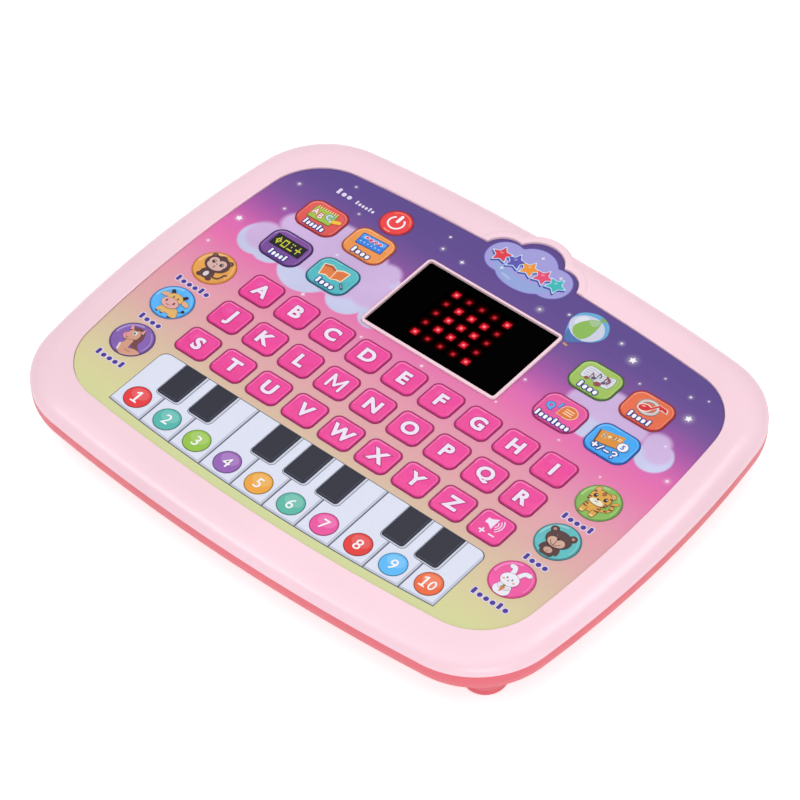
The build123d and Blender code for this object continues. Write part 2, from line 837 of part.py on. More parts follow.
def wiring():
    """Every lead inside the housing."""
    return Compound(children=speaker_leads() + battery_leads() + display_leads())


def write_parts():
    keys = key_list()
    nodes = {
        "top_housing": top_housing(),
        "bottom_housing": bottom_housing(),
        "face_film": face_film(keys),
        "spacer_sheet": spacer_sheet(keys),
        "circuit_membrane": circuit_membrane(),
        "display_window": display_window(),
        "display_dots": display_dots(),
        "display_board": display_board(),
        "main_board": main_board(),
        "board_parts": board_parts(),
        "speaker": speaker(),
        "battery_cells": battery_cells(),
        "battery_contacts": battery_contacts(),
        "battery_cover": battery_cover(),
        "battery_cover_screw": battery_cover_screw(),
        "housing_screws": housing_screws(),
        "small_screws": small_screws(),
        "wiring": wiring(),
    }
    nodes.update({key.name: key_pad(key) for key in keys})
    os.makedirs("parts", exist_ok=True)
    for name, shape in nodes.items():
        export_step(shape, f"parts/{name}.step")


write_parts()
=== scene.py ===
"""Looks for the toy tablet: materials on the CAD shells and keys, and the printed artwork as thin inlaid pieces.

Blender works in metres. The drawing code below takes millimetres in the frame of the CAD model, with +X right
and +Y to the back, and turns them into metres when a mesh is made.
"""

import math
import bpy
from mathutils import Matrix, Vector
from mathutils.geometry import tessellate_polygon


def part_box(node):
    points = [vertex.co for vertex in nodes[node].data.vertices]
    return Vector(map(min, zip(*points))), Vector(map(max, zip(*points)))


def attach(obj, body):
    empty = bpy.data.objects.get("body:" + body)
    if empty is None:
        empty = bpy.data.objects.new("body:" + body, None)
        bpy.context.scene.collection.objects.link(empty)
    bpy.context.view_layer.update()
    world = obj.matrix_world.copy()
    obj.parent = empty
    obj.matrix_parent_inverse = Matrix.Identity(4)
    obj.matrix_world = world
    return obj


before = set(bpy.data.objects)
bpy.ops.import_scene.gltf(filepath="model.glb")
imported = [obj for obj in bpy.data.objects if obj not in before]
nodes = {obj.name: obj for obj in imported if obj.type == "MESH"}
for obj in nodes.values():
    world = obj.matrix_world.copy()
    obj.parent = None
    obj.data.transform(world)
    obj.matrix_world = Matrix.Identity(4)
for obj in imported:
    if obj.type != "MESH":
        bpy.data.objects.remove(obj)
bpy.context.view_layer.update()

MM = 0.001
INK = 0.03  # thickness of one layer of print
STEP = 0.001  # how far each plate stands above the one drawn before it, so that no two share a plane
STEPS = 24  # how many such steps a layer has
SINK = 0.01  # how far a layer reaches into the one below

# ---- colours, as sRGB 0 to 255 ----
WHITE = (248, 246, 250)
PALE_PINK = (252, 214, 226)
CORAL = (232, 104, 118)
HOT_PINK = (237, 54, 149)
DEEP_PINK = (150, 30, 96)
NAVY = (38, 52, 140)
VIOLET_INK = (72, 54, 152)
CHARCOAL = (40, 41, 56)


# ---------------------------------------------------------------- colour and node helpers
def linear(colour):
    """An sRGB colour from 0 to 255 as linear RGBA."""
    channels = []
    for value in colour:
        value = value / 255
        channels.append(value / 12.92 if value <= 0.04045 else ((value + 0.055) / 1.055) ** 2.4)
    return (*channels, 1.0)


def scaled(colour, factor):
    return tuple(min(255, max(0, value * factor)) for value in colour)


def mixed(first, second, share):
    return tuple(a + (b - a) * share for a, b in zip(first, second))


class Graph:
    """A material's node tree, built by naming node types and their inputs."""

    def __init__(self, name):
        self.material = bpy.data.materials.new(name)
        self.material.use_nodes = True
        self.tree = self.material.node_tree
        self.tree.nodes.clear()

    def add(self, kind, inputs=None, **settings):
        node = self.tree.nodes.new("ShaderNode" + kind)
        for key, value in settings.items():
            setattr(node, key, value)
        for key, value in (inputs or {}).items():
            if isinstance(value, bpy.types.NodeSocket):
                self.tree.links.new(value, node.inputs[key])
            else:
                node.inputs[key].default_value = value
        return node

    def math(self, operation, first, second=0.0, third=0.0):
        return self.add("Math", {0: first, 1: second, 2: third}, operation=operation).outputs[0]

    def ramp(self, factor, stops, smooth=False):
        """A colour ramp from (position, colour) stops, with colours in sRGB."""
        node = self.add("ValToRGB", {"Fac": factor})
        node.color_ramp.interpolation = "EASE" if smooth else "LINEAR"
        elements = node.color_ramp.elements
        while len(elements) < len(stops):
            elements.new(0.5)
        for element, (position, colour) in zip(elements, stops):
            element.position = position
            element.color = linear(colour)
        return node.outputs["Color"]

    def mix(self, factor, first, second, blend="MIX"):
        node = self.add("Mix", data_type="RGBA", blend_type=blend)
        for index, value in ((0, factor), (6, first), (7, second)):
            if isinstance(value, bpy.types.NodeSocket):
                self.tree.links.new(value, node.inputs[index])
            else:
                node.inputs[index].default_value = value
        return node.outputs[2]

    def ease(self, value, low, high, to_low=0.0, to_high=1.0):
        """A smooth step of value from low to high."""
        inputs = {"Value": value, "From Min": low, "From Max": high, "To Min": to_low, "To Max": to_high}
        return self.add("MapRange", inputs, interpolation_type="SMOOTHSTEP").outputs["Result"]

    def position(self):
        return self.add("TexCoord").outputs["Object"]

    def noise(self, scale, detail=3.0, roughness=0.5):
        inputs = {"Vector": self.position(), "Scale": scale, "Detail": detail, "Roughness": roughness}
        return self.add("TexNoise", inputs).outputs["Fac"]

    def surface(self, inputs):
        """Ends the tree in a Principled shader with these inputs."""
        shader = self.add("BsdfPrincipled", inputs)
        self.add("OutputMaterial", {"Surface": shader.outputs[0]})
        return self.material


# ---------------------------------------------------------------- materials
def moulded_plastic(name, colour, roughness=0.34, coat=0.12, grain=2600, bump=0.025, shade=0.05):
    """Injection-moulded plastic: a fine sparked grain, slow colour drift and faint handling marks."""
    graph = Graph(name)
    drift = graph.noise(9, 2)
    fine = graph.noise(grain, 2)
    marks = graph.noise(120, 6, 0.65)
    colour_drift = graph.ramp(drift, [(0.3, scaled(colour, 1 - shade)), (0.7, colour)])
    tint = graph.mix(graph.math("MULTIPLY", fine, 0.05), colour_drift, linear(scaled(colour, 1.06)))
    rough = graph.ease(marks, 0.25, 0.75, roughness - 0.05, roughness + 0.07)
    height = graph.math("ADD", fine, graph.math("MULTIPLY", marks, 0.25))
    relief = graph.add("Bump", {"Height": height, "Strength": bump, "Distance": 0.0004})
    return graph.surface({
        "Base Color": tint, "Roughness": rough, "Coat Weight": coat, "Coat Roughness": 0.16,
        "Specular IOR Level": 0.45, "Normal": relief.outputs[0],
    })


def ink(name, colour, roughness=0.32, speckle=0.015):
    """Printed ink under a clear film: a faint print screen in the colour."""
    if name in bpy.data.materials:
        return bpy.data.materials[name]
    graph = Graph(name)
    screen = graph.noise(1500, 1)
    cloudy = graph.noise(60, 2)
    dark = scaled(colour, 1 - speckle)
    base = graph.ramp(screen, [(0.35, dark), (0.65, colour)])
    tint = graph.mix(graph.math("MULTIPLY", cloudy, 0.12), base, linear(scaled(colour, 1.05)))
    return graph.surface({
        "Base Color": tint, "Roughness": roughness, "Specular IOR Level": 0.2, "Coat Weight": 0.05,
        "Coat Roughness": 0.15,
    })


def key_plastic(name, face, edge):
    """A printed key pad: its colour on top, a darker edge on the rounded sides, and a glossy skin."""
    graph = Graph(name)
    normal_z = graph.add("SeparateXYZ", {0: graph.add("NewGeometry").outputs["Normal"]}).outputs["Z"]
    on_top = graph.ease(normal_z, 0.90, 0.985)
    fine = graph.noise(1500, 1)
    cloudy = graph.noise(90, 2)
    top = graph.ramp(cloudy, [(0.3, scaled(face, 0.96)), (0.7, scaled(face, 1.03))])
    top = graph.mix(graph.math("MULTIPLY", fine, 0.08), top, linear(scaled(face, 1.1)))
    colour = graph.mix(on_top, linear(edge), top)
    relief = graph.add("Bump", {"Height": fine, "Strength": 0.02, "Distance": 0.0003})
    return graph.surface({
        "Base Color": colour, "Roughness": graph.ease(cloudy, 0.2, 0.8, 0.22, 0.32),
        "Specular IOR Level": 0.35, "Coat Weight": 0.25, "Coat Roughness": 0.12, "Normal": relief.outputs[0],
    })


def metal(name, colour, roughness=0.32):
    """Drawn or turned metal with fine brushing."""
    graph = Graph(name)
    stretch = graph.add("Mapping", {"Vector": graph.position(), "Scale": (300, 4000, 4000)})
    brushed = graph.add("TexNoise", {"Vector": stretch.outputs[0], "Scale": 1.0, "Detail": 4.0}).outputs["Fac"]
    tint = graph.ramp(brushed, [(0.3, scaled(colour, 0.85)), (0.7, colour)])
    rough = graph.ease(brushed, 0.2, 0.8, roughness - 0.08, roughness + 0.1)
    relief = graph.add("Bump", {"Height": brushed, "Strength": 0.05, "Distance": 0.0002})
    return graph.surface({"Base Color": tint, "Metallic": 1.0, "Roughness": rough, "Normal": relief.outputs[0]})


def circuit_board(name, colour):
    """A solder-masked board with copper tracks that show through as a lighter pattern."""
    graph = Graph(name)
    tracks = graph.add("TexBrick", {"Vector": graph.position(), "Scale": 160.0, "Mortar Size": 0.03})
    tint = graph.mix(tracks.outputs["Fac"], linear(scaled(colour, 1.5)), linear(colour))
    fine = graph.noise(900, 2)
    tint = graph.mix(graph.math("MULTIPLY", fine, 0.2), tint, linear(scaled(colour, 0.7)))
    return graph.surface({"Base Color": tint, "Roughness": 0.4, "Coat Weight": 0.3})


# The face's colour from front to back, as (y in mm, colour).
SKY = [
    (-76, (211, 218, 158)), (-66, (217, 214, 156)), (-54, (219, 205, 160)), (-38, (219, 189, 165)),
    (-26, (224, 173, 170)), (-8, (230, 158, 174)), (6, (230, 138, 177)), (18, (232, 114, 175)),
    (26, (224, 106, 178)), (34, (190, 92, 171)), (42, (157, 82, 165)), (50, (124, 80, 154)),
    (60, (100, 73, 147)), (70, (92, 70, 143)), (90, (90, 69, 141)),
]
LAVENDER = (209, 180, 226)
HAZE_BLUE = (201, 203, 236)
# Cloud lobes printed on the face, as (x, y, radius).
LEFT_HAZE = [(-89.5, 24.8, 8.6), (-82.5, 24.8, 8.6), (-64, 25.5, 13), (-43, 23, 9), (-29, 21.5, 6.5), (-36, 34, 8)]
LEFT_CLOUD = [(-89, 27.4, 8), (-82, 29, 8.6), (-83.5, 39.4, 6.8), (-65.5, 37.5, 15), (-52, 34, 15.5),
              (-39.5, 40.6, 6.4), (-38, 30, 8.5)]
RIGHT_HAZE = [(66, 30, 7.0), (93.8, 31.8, 7.4), (82, 29, 6.0)]
RIGHT_CLOUD = [(66.5, 40.8, 8.7), (90.8, 37.4, 6.0), (94.0, 34.2, 5.8), (56.5, 37.3, 6.3), (78, 36.5, 8.6)]
# Soft star glows printed on the face, as (x, y, radius).
GLOWS = [
    (-103, 28.4, 3.4), (58.7, 64.6, 4.4), (92, 54.5, 4.0), (-97.6, 56.9, 2.2), (-93, 43.1, 2.0),
    (-79.5, 69.4, 1.6), (-69, 58.9, 1.6), (-32.2, 64.8, 2.2), (-22, 63.8, 2.2), (-34, 71.4, 1.5),
    (16, 63.2, 3.0), (26.2, 68.0, 1.8), (50.3, 68.7, 2.4), (73.5, 64.9, 1.4), (86.2, 63.4, 2.0),
    (92.5, 65.9, 1.3), (67.8, 57.0, 1.4), (104.3, 25.9, 2.6), (34.3, 32.2, 1.8), (0.7, 13.5, 1.6),
    (-57.2, 13.4, 1.8), (33, 17.0, 1.4), (84.7, 12.4, 1.4), (62.3, 16.9, 1.4), (93.7, 38.7, 1.4),
    (-61, 37, 1.6), (-104, 12, 2.0), (-26, 10.5, 1.6),
]


def lobe_field(graph, position, lobes):
    """The distance to the nearest lobe's edge, in metres, negative inside."""
    nearest = None
    for x, y, radius in lobes:
        to_centre = graph.add("VectorMath", {0: position, 1: (x * MM, y * MM, 0)}, operation="DISTANCE")
        edge = graph.math("SUBTRACT", to_centre.outputs["Value"], radius * MM)
        nearest = edge if nearest is None else graph.math("MINIMUM", nearest, edge)
    return nearest


def flat_position(graph):
    """The position on the face with the height taken out."""
    axes = graph.add("SeparateXYZ", {0: graph.position()})
    flat = graph.add("CombineXYZ", {"X": axes.outputs["X"], "Y": axes.outputs["Y"], "Z": 0.0})
    return flat.outputs[0], axes.outputs["Y"]


def printed_film():
    """The face film: a dusk sky that runs to a meadow green, clouds, haze and soft star glows."""
    graph = Graph("face_print")
    position, y = flat_position(graph)
    wobble = graph.noise(22, 2)
    height = graph.math("ADD", y, graph.math("MULTIPLY", graph.math("SUBTRACT", wobble, 0.5), 0.006))
    low, high = SKY[0][0], SKY[-1][0]
    share = graph.add("MapRange", {"Value": height, "From Min": low * MM, "From Max": high * MM})
    stops = [((y_mm - low) / (high - low), colour) for y_mm, colour in SKY]
    colour = graph.ramp(share.outputs[0], stops)
    soft = 0.0004
    streak = graph.noise(35, 3)
    for haze, cloud in ((LEFT_HAZE, LEFT_CLOUD), (RIGHT_HAZE, RIGHT_CLOUD)):
        field = lobe_field(graph, position, haze)
        body = graph.ramp(streak, [(0.3, scaled(HAZE_BLUE, 0.97)), (0.7, scaled(HAZE_BLUE, 1.04))])
        colour = graph.mix(graph.ease(field, soft, -2 * soft), colour, body)
        field = lobe_field(graph, position, cloud)
        body = graph.ramp(streak, [(0.3, scaled(LAVENDER, 0.97)), (0.7, scaled(LAVENDER, 1.03))])
        colour = graph.mix(graph.ease(field, 2 * soft, -5 * soft), colour, body)
    light = 0.0
    for x, y_mm, radius in GLOWS:
        to_centre = graph.add("VectorMath", {0: position, 1: (x * MM, y_mm * MM, 0)}, operation="DISTANCE")
        nearness = graph.ease(to_centre.outputs["Value"], radius * 1.4 * MM, 0.0)
        light = graph.math("ADD", light, graph.math("POWER", nearness, 4.0))
    light = graph.math("MINIMUM", graph.math("MULTIPLY", light, 0.36), 1.0)
    colour = graph.mix(light, colour, linear(WHITE))
    screen = graph.noise(1500, 1)
    colour = graph.mix(graph.math("MULTIPLY", screen, 0.05), colour, linear((60, 40, 80)))
    relief = graph.add("Bump", {"Height": graph.noise(500, 2), "Strength": 0.02, "Distance": 0.0003})
    return graph.surface({
        "Base Color": colour, "Roughness": graph.ease(graph.noise(150, 4), 0.2, 0.8, 0.27, 0.38),
        "Specular IOR Level": 0.2, "Coat Weight": 0.05, "Coat Roughness": 0.2, "Normal": relief.outputs[0],
    })


def dot_grid(graph):
    """How far each point is from its nearest lamp's middle, in lamp sizes along x and y, and which lamp it is."""
    low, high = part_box("display_dots")
    middle = (low + high) / 2
    axes = graph.add("SeparateXYZ", {0: graph.position()})
    offsets = []
    cells = []
    for axis, span, centre in (("X", high.x - low.x, middle.x), ("Y", high.y - low.y, middle.y)):
        pitch = (span - LAMP_SIZE * MM) / 4
        steps = graph.math("DIVIDE", graph.math("SUBTRACT", axes.outputs[axis], centre), pitch)
        cell = graph.math("ROUND", steps)
        cells.append(graph.math("ABSOLUTE", cell))
        offset = graph.math("MULTIPLY", graph.math("SUBTRACT", steps, cell), pitch / (LAMP_SIZE * MM))
        offsets.append(graph.math("ABSOLUTE", offset))
    outermost = graph.math("MAXIMUM", *cells)
    ring = graph.math("GREATER_THAN", outermost, 1.5)
    corner = graph.math("GREATER_THAN", graph.math("MINIMUM", *cells), 1.5)
    inside = graph.math("LESS_THAN", outermost, 2.5)
    return offsets, graph.math("SUBTRACT", ring, corner), inside


LAMP_SIZE = 3.0


def lamp_material():
    """The lit lamps: a pale hot spot in a red square. The lamps of the outer ring, except the corners, are dim."""
    graph = Graph("lamp_glow")
    offsets, dim, inside = dot_grid(graph)
    square = graph.math("MAXIMUM", *offsets)
    squares = [graph.math("MULTIPLY", offset, offset) for offset in offsets]
    radius = graph.math("SQRT", graph.math("ADD", *squares))
    upward = graph.add("SeparateXYZ", {0: graph.add("NewGeometry").outputs["Normal"]}).outputs["Z"]
    top = graph.math("GREATER_THAN", upward, 0.5)
    reach = graph.math("SUBTRACT", 0.47, graph.math("MULTIPLY", dim, 0.14))
    lit = graph.ease(graph.math("SUBTRACT", square, reach), 0.05, -0.05)
    hot = graph.ease(radius, 0.3, 0.05)
    level = graph.math("SUBTRACT", 1.0, graph.math("MULTIPLY", dim, 0.62))
    paleness = graph.math("MULTIPLY", hot, graph.math("MULTIPLY", level, level))
    colour = graph.mix(paleness, linear((255, 55, 82)), linear((255, 168, 178)))
    strength = graph.math("MULTIPLY", graph.math("ADD", 7.0, graph.math("MULTIPLY", hot, 13.0)), level)
    strength = graph.math("MULTIPLY", graph.math("MULTIPLY", strength, lit), top)
    return graph.surface({
        "Base Color": linear((26, 4, 8)), "Roughness": 0.5, "Emission Color": colour, "Emission Strength": strength,
    })


def smoked_pane():
    """The dark display pane: black, with the lamps seen through it and a faint painted red glow round each, as emission
    on the pane's lower face that stands in for lamp light spread in the pane.
    """
    graph = Graph("smoked_pane")
    offsets, dim, inside = dot_grid(graph)
    squares = [graph.math("MULTIPLY", offset, offset) for offset in offsets]
    radius = graph.math("SQRT", graph.math("ADD", *squares))
    # haze is painted lamp glow: red emission on the pane that fades out round each lamp, weaker round the dim ones
    haze = graph.math("POWER", graph.ease(radius, 1.15, 0.25), 2.0)
    level = graph.math("SUBTRACT", 1.0, graph.math("MULTIPLY", dim, 0.6))
    haze = graph.math("MULTIPLY", graph.math("MULTIPLY", haze, inside), graph.math("MULTIPLY", level, 3.2))
    lower_face = graph.add("NewGeometry").outputs["Backfacing"]
    smear = graph.noise(40, 4)
    # the Emission Strength below is the painted lamp glow, shown on the pane's lower face only
    shader = graph.add("BsdfPrincipled", {
        "Base Color": linear((1, 1, 1)), "Roughness": graph.ease(smear, 0.3, 0.8, 0.08, 0.16),
        "Specular IOR Level": 0.003, "Emission Color": linear((255, 20, 30)),
        "Emission Strength": graph.math("MULTIPLY", haze, lower_face),
    })
    clear = graph.add("BsdfTransparent", {"Color": (0.32, 0.24, 0.24, 1)})
    window = graph.math("MULTIPLY", inside, 0.9)
    blend = graph.add("MixShader", {0: window, 1: shader.outputs[0], 2: clear.outputs[0]})
    graph.add("OutputMaterial", {"Surface": blend.outputs[0]})
    return graph.material


# ---------------------------------------------------------------- outlines, in mm
def ellipse(x, y, radius_x, radius_y=None, tilt=0.0, points=40):
    """A closed ellipse, or a circle when only one radius is given."""
    radius_y = radius_x if radius_y is None else radius_y
    turn = math.radians(tilt)
    outline = []
    for step in range(points):
        angle = 2 * math.pi * step / points
        px, py = radius_x * math.cos(angle), radius_y * math.sin(angle)
        outline.append((x + px * math.cos(turn) - py * math.sin(turn), y + px * math.sin(turn) + py * math.cos(turn)))
    return outline


def rounded(x, y, width, depth, radius, tilt=0.0, steps=8):
    """A closed rectangle with round corners."""
    turn = math.radians(tilt)
    outline = []
    for corner, (sx, sy) in enumerate(((1, 1), (-1, 1), (-1, -1), (1, -1))):
        cx, cy = sx * (width / 2 - radius), sy * (depth / 2 - radius)
        for step in range(steps + 1):
            angle = math.pi / 2 * (corner + step / steps)
            px, py = cx + radius * math.cos(angle), cy + radius * math.sin(angle)
            outline.append((x + px * math.cos(turn) - py * math.sin(turn), y + px * math.sin(turn) + py * math.cos(turn)))
    return outline


def star(x, y, outer, inner, points=5, tilt=90.0):
    """A closed star with its first point at the tilt angle."""
    outline = []
    for step in range(2 * points):
        reach = outer if step % 2 == 0 else inner
        angle = math.radians(tilt) + math.pi * step / points
        outline.append((x + reach * math.cos(angle), y + reach * math.sin(angle)))
    return outline


def curve(points, closed=False, steps=8):
    """A smooth line through the points (Catmull-Rom)."""
    count = len(points)
    spans = count if closed else count - 1
    line = []
    for index in range(spans):
        if closed:
            p0, p1, p2, p3 = (points[(index + k - 1) % count] for k in range(4))
        else:
            p0, p1, p2, p3 = (points[min(max(index + k - 1, 0), count - 1)] for k in range(4))
        for step in range(steps):
            t = step / steps
            line.append(tuple(
                0.5 * (2 * b + (c - a) * t + (2 * a - 5 * b + 4 * c - d) * t * t + (3 * b - a - 3 * c + d) * t ** 3)
                for a, b, c, d in zip(p0, p1, p2, p3)
            ))
    if not closed:
        line.append(points[-1])
    return line


def stroke(points, width):
    """A line drawn with a round pen, as one closed outline."""
    left, right = [], []
    count = len(points)
    for index, (x, y) in enumerate(points):
        ax, ay = points[max(index - 1, 0)]
        bx, by = points[min(index + 1, count - 1)]
        length = math.hypot(bx - ax, by - ay) or 1.0
        nx, ny = -(by - ay) / length * width / 2, (bx - ax) / length * width / 2
        left.append((x + nx, y + ny))
        right.append((x - nx, y - ny))
    caps = []
    for (x, y), (tx, ty) in ((points[-1], left[-1]), (points[0], right[0])):
        start = math.atan2(ty - y, tx - x)
        caps.append([(x + width / 2 * math.cos(start - math.pi * k / 6), y + width / 2 * math.sin(start - math.pi * k / 6))
                     for k in range(1, 6)])
    return left + caps[0] + right[::-1] + caps[1]


def lobed(centre, lobes, points=120):
    """The outer edge of overlapping ellipses (x, y, rx, ry), seen from a centre inside them."""
    outline = []
    for step in range(points):
        angle = 2 * math.pi * step / points
        dx, dy = math.cos(angle), math.sin(angle)
        reach = 0.0
        for x, y, rx, ry in lobes:
            ox, oy = (centre[0] - x) / rx, (centre[1] - y) / ry
            ux, uy = dx / rx, dy / ry
            a = ux * ux + uy * uy
            b = ox * ux + oy * uy
            inside = b * b - a * (ox * ox + oy * oy - 1)
            if inside >= 0:
                reach = max(reach, (-b + math.sqrt(inside)) / a)
        outline.append((centre[0] + dx * reach, centre[1] + dy * reach))
    return outline


# ---------------------------------------------------------------- printed pieces
class Print:
    """Flat printed shapes that ride on one body: thin closed plates, stacked in layers."""

    def __init__(self, name, body, x, y, z, reach=math.inf):
        self.name = name
        self.body = body
        self.origin = (x, y, z)
        self.reach = reach
        self.points = []
        self.faces = []
        self.slots = []
        self.slot_of_face = []
        self.count = 0

    def slot(self, colour):
        material = colour if isinstance(colour, bpy.types.Material) else ink(ink_name(colour), colour)
        if material not in self.slots:
            self.slots.append(material)
        return self.slots.index(material)

    def levels(self, layer):
        """The top and bottom of the next plate in a layer."""
        self.count += 1
        lift = STEP * (self.count % STEPS)
        return self.origin[2] + INK * (layer + 1) + lift, self.origin[2] + INK * layer - SINK + lift

    def drawn_in(self, x, y):
        """A point on the plate, moved onto the circle of the print's reach if it lies outside it."""
        share = min(1.0, self.reach / max(math.hypot(x, y), STEP))
        return x * share, y * share

    def fill(self, layer, colour, *loops):
        """Adds a plate. The first loop is its edge and the others are holes."""
        loops = [[self.drawn_in(x, y) for x, y in loop] for loop in loops]
        slot = self.slot(colour)
        ox, oy, oz = self.origin
        top, bottom = self.levels(layer)
        flat = [Vector((x, y, 0)) for loop in loops for x, y in loop]
        base = len(self.points)
        count = len(flat)
        for z in (top, bottom):
            self.points += [((ox + p.x) * MM, (oy + p.y) * MM, z * MM) for p in flat]
        for a, b, c in tessellate_polygon([[Vector((x, y, 0)) for x, y in loop] for loop in loops]):
            if (flat[b] - flat[a]).cross(flat[c] - flat[a]).z < 0:
                b, c = c, b
            self.add_face((base + a, base + b, base + c), slot)
            self.add_face((base + count + a, base + count + c, base + count + b), slot)
        start = 0
        for number, loop in enumerate(loops):
            size = len(loop)
            outward = (signed_area(loop) > 0) == (number == 0)
            for k in range(size):
                i, j = base + start + k, base + start + (k + 1) % size
                side = (i, i + count, j + count, j) if outward else (j, j + count, i + count, i)
                self.add_face(side, slot)
            start += size

    def add_face(self, corners, slot):
        self.faces.append(corners)
        self.slot_of_face.append(slot)

    def text(self, layer, colour, letter, x, y, height, bold=0.035, stretch=1.0):
        """A single generic character, centred on x, y."""
        slot = self.slot(colour)
        ox, oy, oz = self.origin
        points, faces = glyph(letter, bold)
        base = len(self.points)
        top, bottom = self.levels(layer)
        for px, py, up in points:
            across, along = ox + x + px * height * stretch, oy + y + py * height
            self.points.append((across * MM, along * MM, (top if up else bottom) * MM))
        for face in faces:
            self.add_face(tuple(base + index for index in face), slot)

    def done(self):
        """Makes the mesh object and puts it on its body."""
        mesh = bpy.data.meshes.new(self.name)
        mesh.from_pydata(self.points, [], self.faces)
        for material in self.slots:
            mesh.materials.append(material)
        mesh.polygons.foreach_set("material_index", self.slot_of_face)
        mesh.update()
        piece = bpy.data.objects.new(self.name, mesh)
        bpy.context.scene.collection.objects.link(piece)
        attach(piece, self.body)
        return piece


def ink_name(colour):
    return "ink_" + "_".join(str(int(value)) for value in colour)


def signed_area(loop):
    return sum(a[0] * b[1] - b[0] * a[1] for a, b in zip(loop, loop[1:] + loop[:1])) / 2


GLYPHS = {}


def glyph(letter, bold):
    """A character one unit high and centred on the origin: its (x, y, on top) points and its faces."""
    key = (letter, bold)
    if key not in GLYPHS:
        shape = bpy.data.curves.new("glyph", "FONT")
        shape.body = letter
        shape.size = 1.0
        shape.offset = bold
        shape.extrude = 0.05
        shape.resolution_u = 6
        holder = bpy.data.objects.new("glyph", shape)
        bpy.context.scene.collection.objects.link(holder)
        bpy.context.view_layer.update()
        mesh = bpy.data.meshes.new_from_object(holder.evaluated_get(bpy.context.evaluated_depsgraph_get()))
        xs = [v.co.x for v in mesh.vertices]
        ys = [v.co.y for v in mesh.vertices]
        cx, cy = (min(xs) + max(xs)) / 2, (min(ys) + max(ys)) / 2
        tall = FULL_HEIGHT[0] or (max(ys) - min(ys))
        FULL_HEIGHT[0] = tall
        points = [((v.co.x - cx) / tall, (v.co.y - cy) / tall, v.co.z > 0) for v in mesh.vertices]
        GLYPHS[key] = points, [tuple(face.vertices) for face in mesh.polygons]
        bpy.data.objects.remove(holder)
        bpy.data.meshes.remove(mesh)
    return GLYPHS[key]


FULL_HEIGHT = [0.0]


# ---------------------------------------------------------------- where things are
def place(node):
    """A node's centre and half sizes in plan, and its top, in mm."""
    low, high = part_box(node)
    middle = (low + high) / 2 / MM
    half = (high - low) / 2 / MM
    return middle.x, middle.y, half.x - FLANGE, half.y - FLANGE, high.z / MM


FLANGE = 0.6  # each key's hidden flange stands this far outside its pad
film_low, film_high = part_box("face_film")
FACE_Z = film_high.z / MM


# ---------------------------------------------------------------- keys
def rim_line(half_x, half_y, radius, inset, start, end, steps=14):
    """The part of an inset rounded rectangle between two angles, where 0 is right and 90 is back."""
    hx, hy, r = half_x - inset, half_y - inset, max(radius - inset, 0.2)
    line = []
    for step in range(steps * 4 + 1):
        angle = math.radians(start + (end - start) * step / (steps * 4))
        dx, dy = math.cos(angle), math.sin(angle)
        reach = min(hx / max(abs(dx), 1e-6), hy / max(abs(dy), 1e-6))
        px, py = dx * reach, dy * reach
        if abs(px) > hx - r and abs(py) > hy - r:
            cx, cy = math.copysign(hx - r, px), math.copysign(hy - r, py)
            b = dx * cx + dy * cy
            reach = b + math.sqrt(max(b * b - (cx * cx + cy * cy - r * r), 0))
            px, py = dx * reach, dy * reach
        line.append((px, py))
    return line


def key_base(name, half_x, half_y, radius, face, edge):
    """The print that every square key shares: dark outline, bright inner rim and a glossy upper half."""
    x, y, _, _, top = place(name)
    art = Print(name + "_print", name, x, y, top)
    outer = rounded(0, 0, 2 * (half_x - 0.08), 2 * (half_y - 0.08), radius - 0.08)
    inner = rounded(0, 0, 2 * (half_x - 0.56), 2 * (half_y - 0.56), radius - 0.56)
    art.fill(0, edge, outer, inner)
    art.fill(0, mixed(face, WHITE, 0.26), stroke(rim_line(half_x, half_y, radius, 1.1, 212, -32), 0.35))
    art.fill(0, mixed(face, WHITE, 0.38), stroke(rim_line(half_x, half_y, radius, 1.15, 160, 100), 0.5))
    art.fill(0, mixed(face, edge, 0.12), stroke(rim_line(half_x, half_y, radius, 0.85, 215, 325), 0.45))
    gloss_x, gloss_y = half_x - 1.9, half_y - 1.9
    corner = max(radius - 1.9, 0.8)
    upper = [point for point in rounded(0, 0, 2 * gloss_x, 2 * gloss_y, corner) if point[1] > 0.6]
    lower = curve([(-gloss_x, 0.6), (-gloss_x * 0.4, -0.7), (gloss_x * 0.35, -0.5), (gloss_x, 1.4)], steps=6)
    upper = [point for point in upper if point[1] > 1.4 or point[0] < 0]
    art.fill(0, mixed(face, WHITE, 0.09), upper + lower[1:])
    art.fill(1, mixed(face, WHITE, 0.16), ellipse(-gloss_x * 0.45, gloss_y * 0.52, gloss_x * 0.3, gloss_y * 0.26, 28))
    return art


SIDE_SHADE = 0.7  # how far a key's sides darken towards its outline
LETTER_WHITE = (240, 228, 246)
LETTER_EDGE = (184, 44, 128)


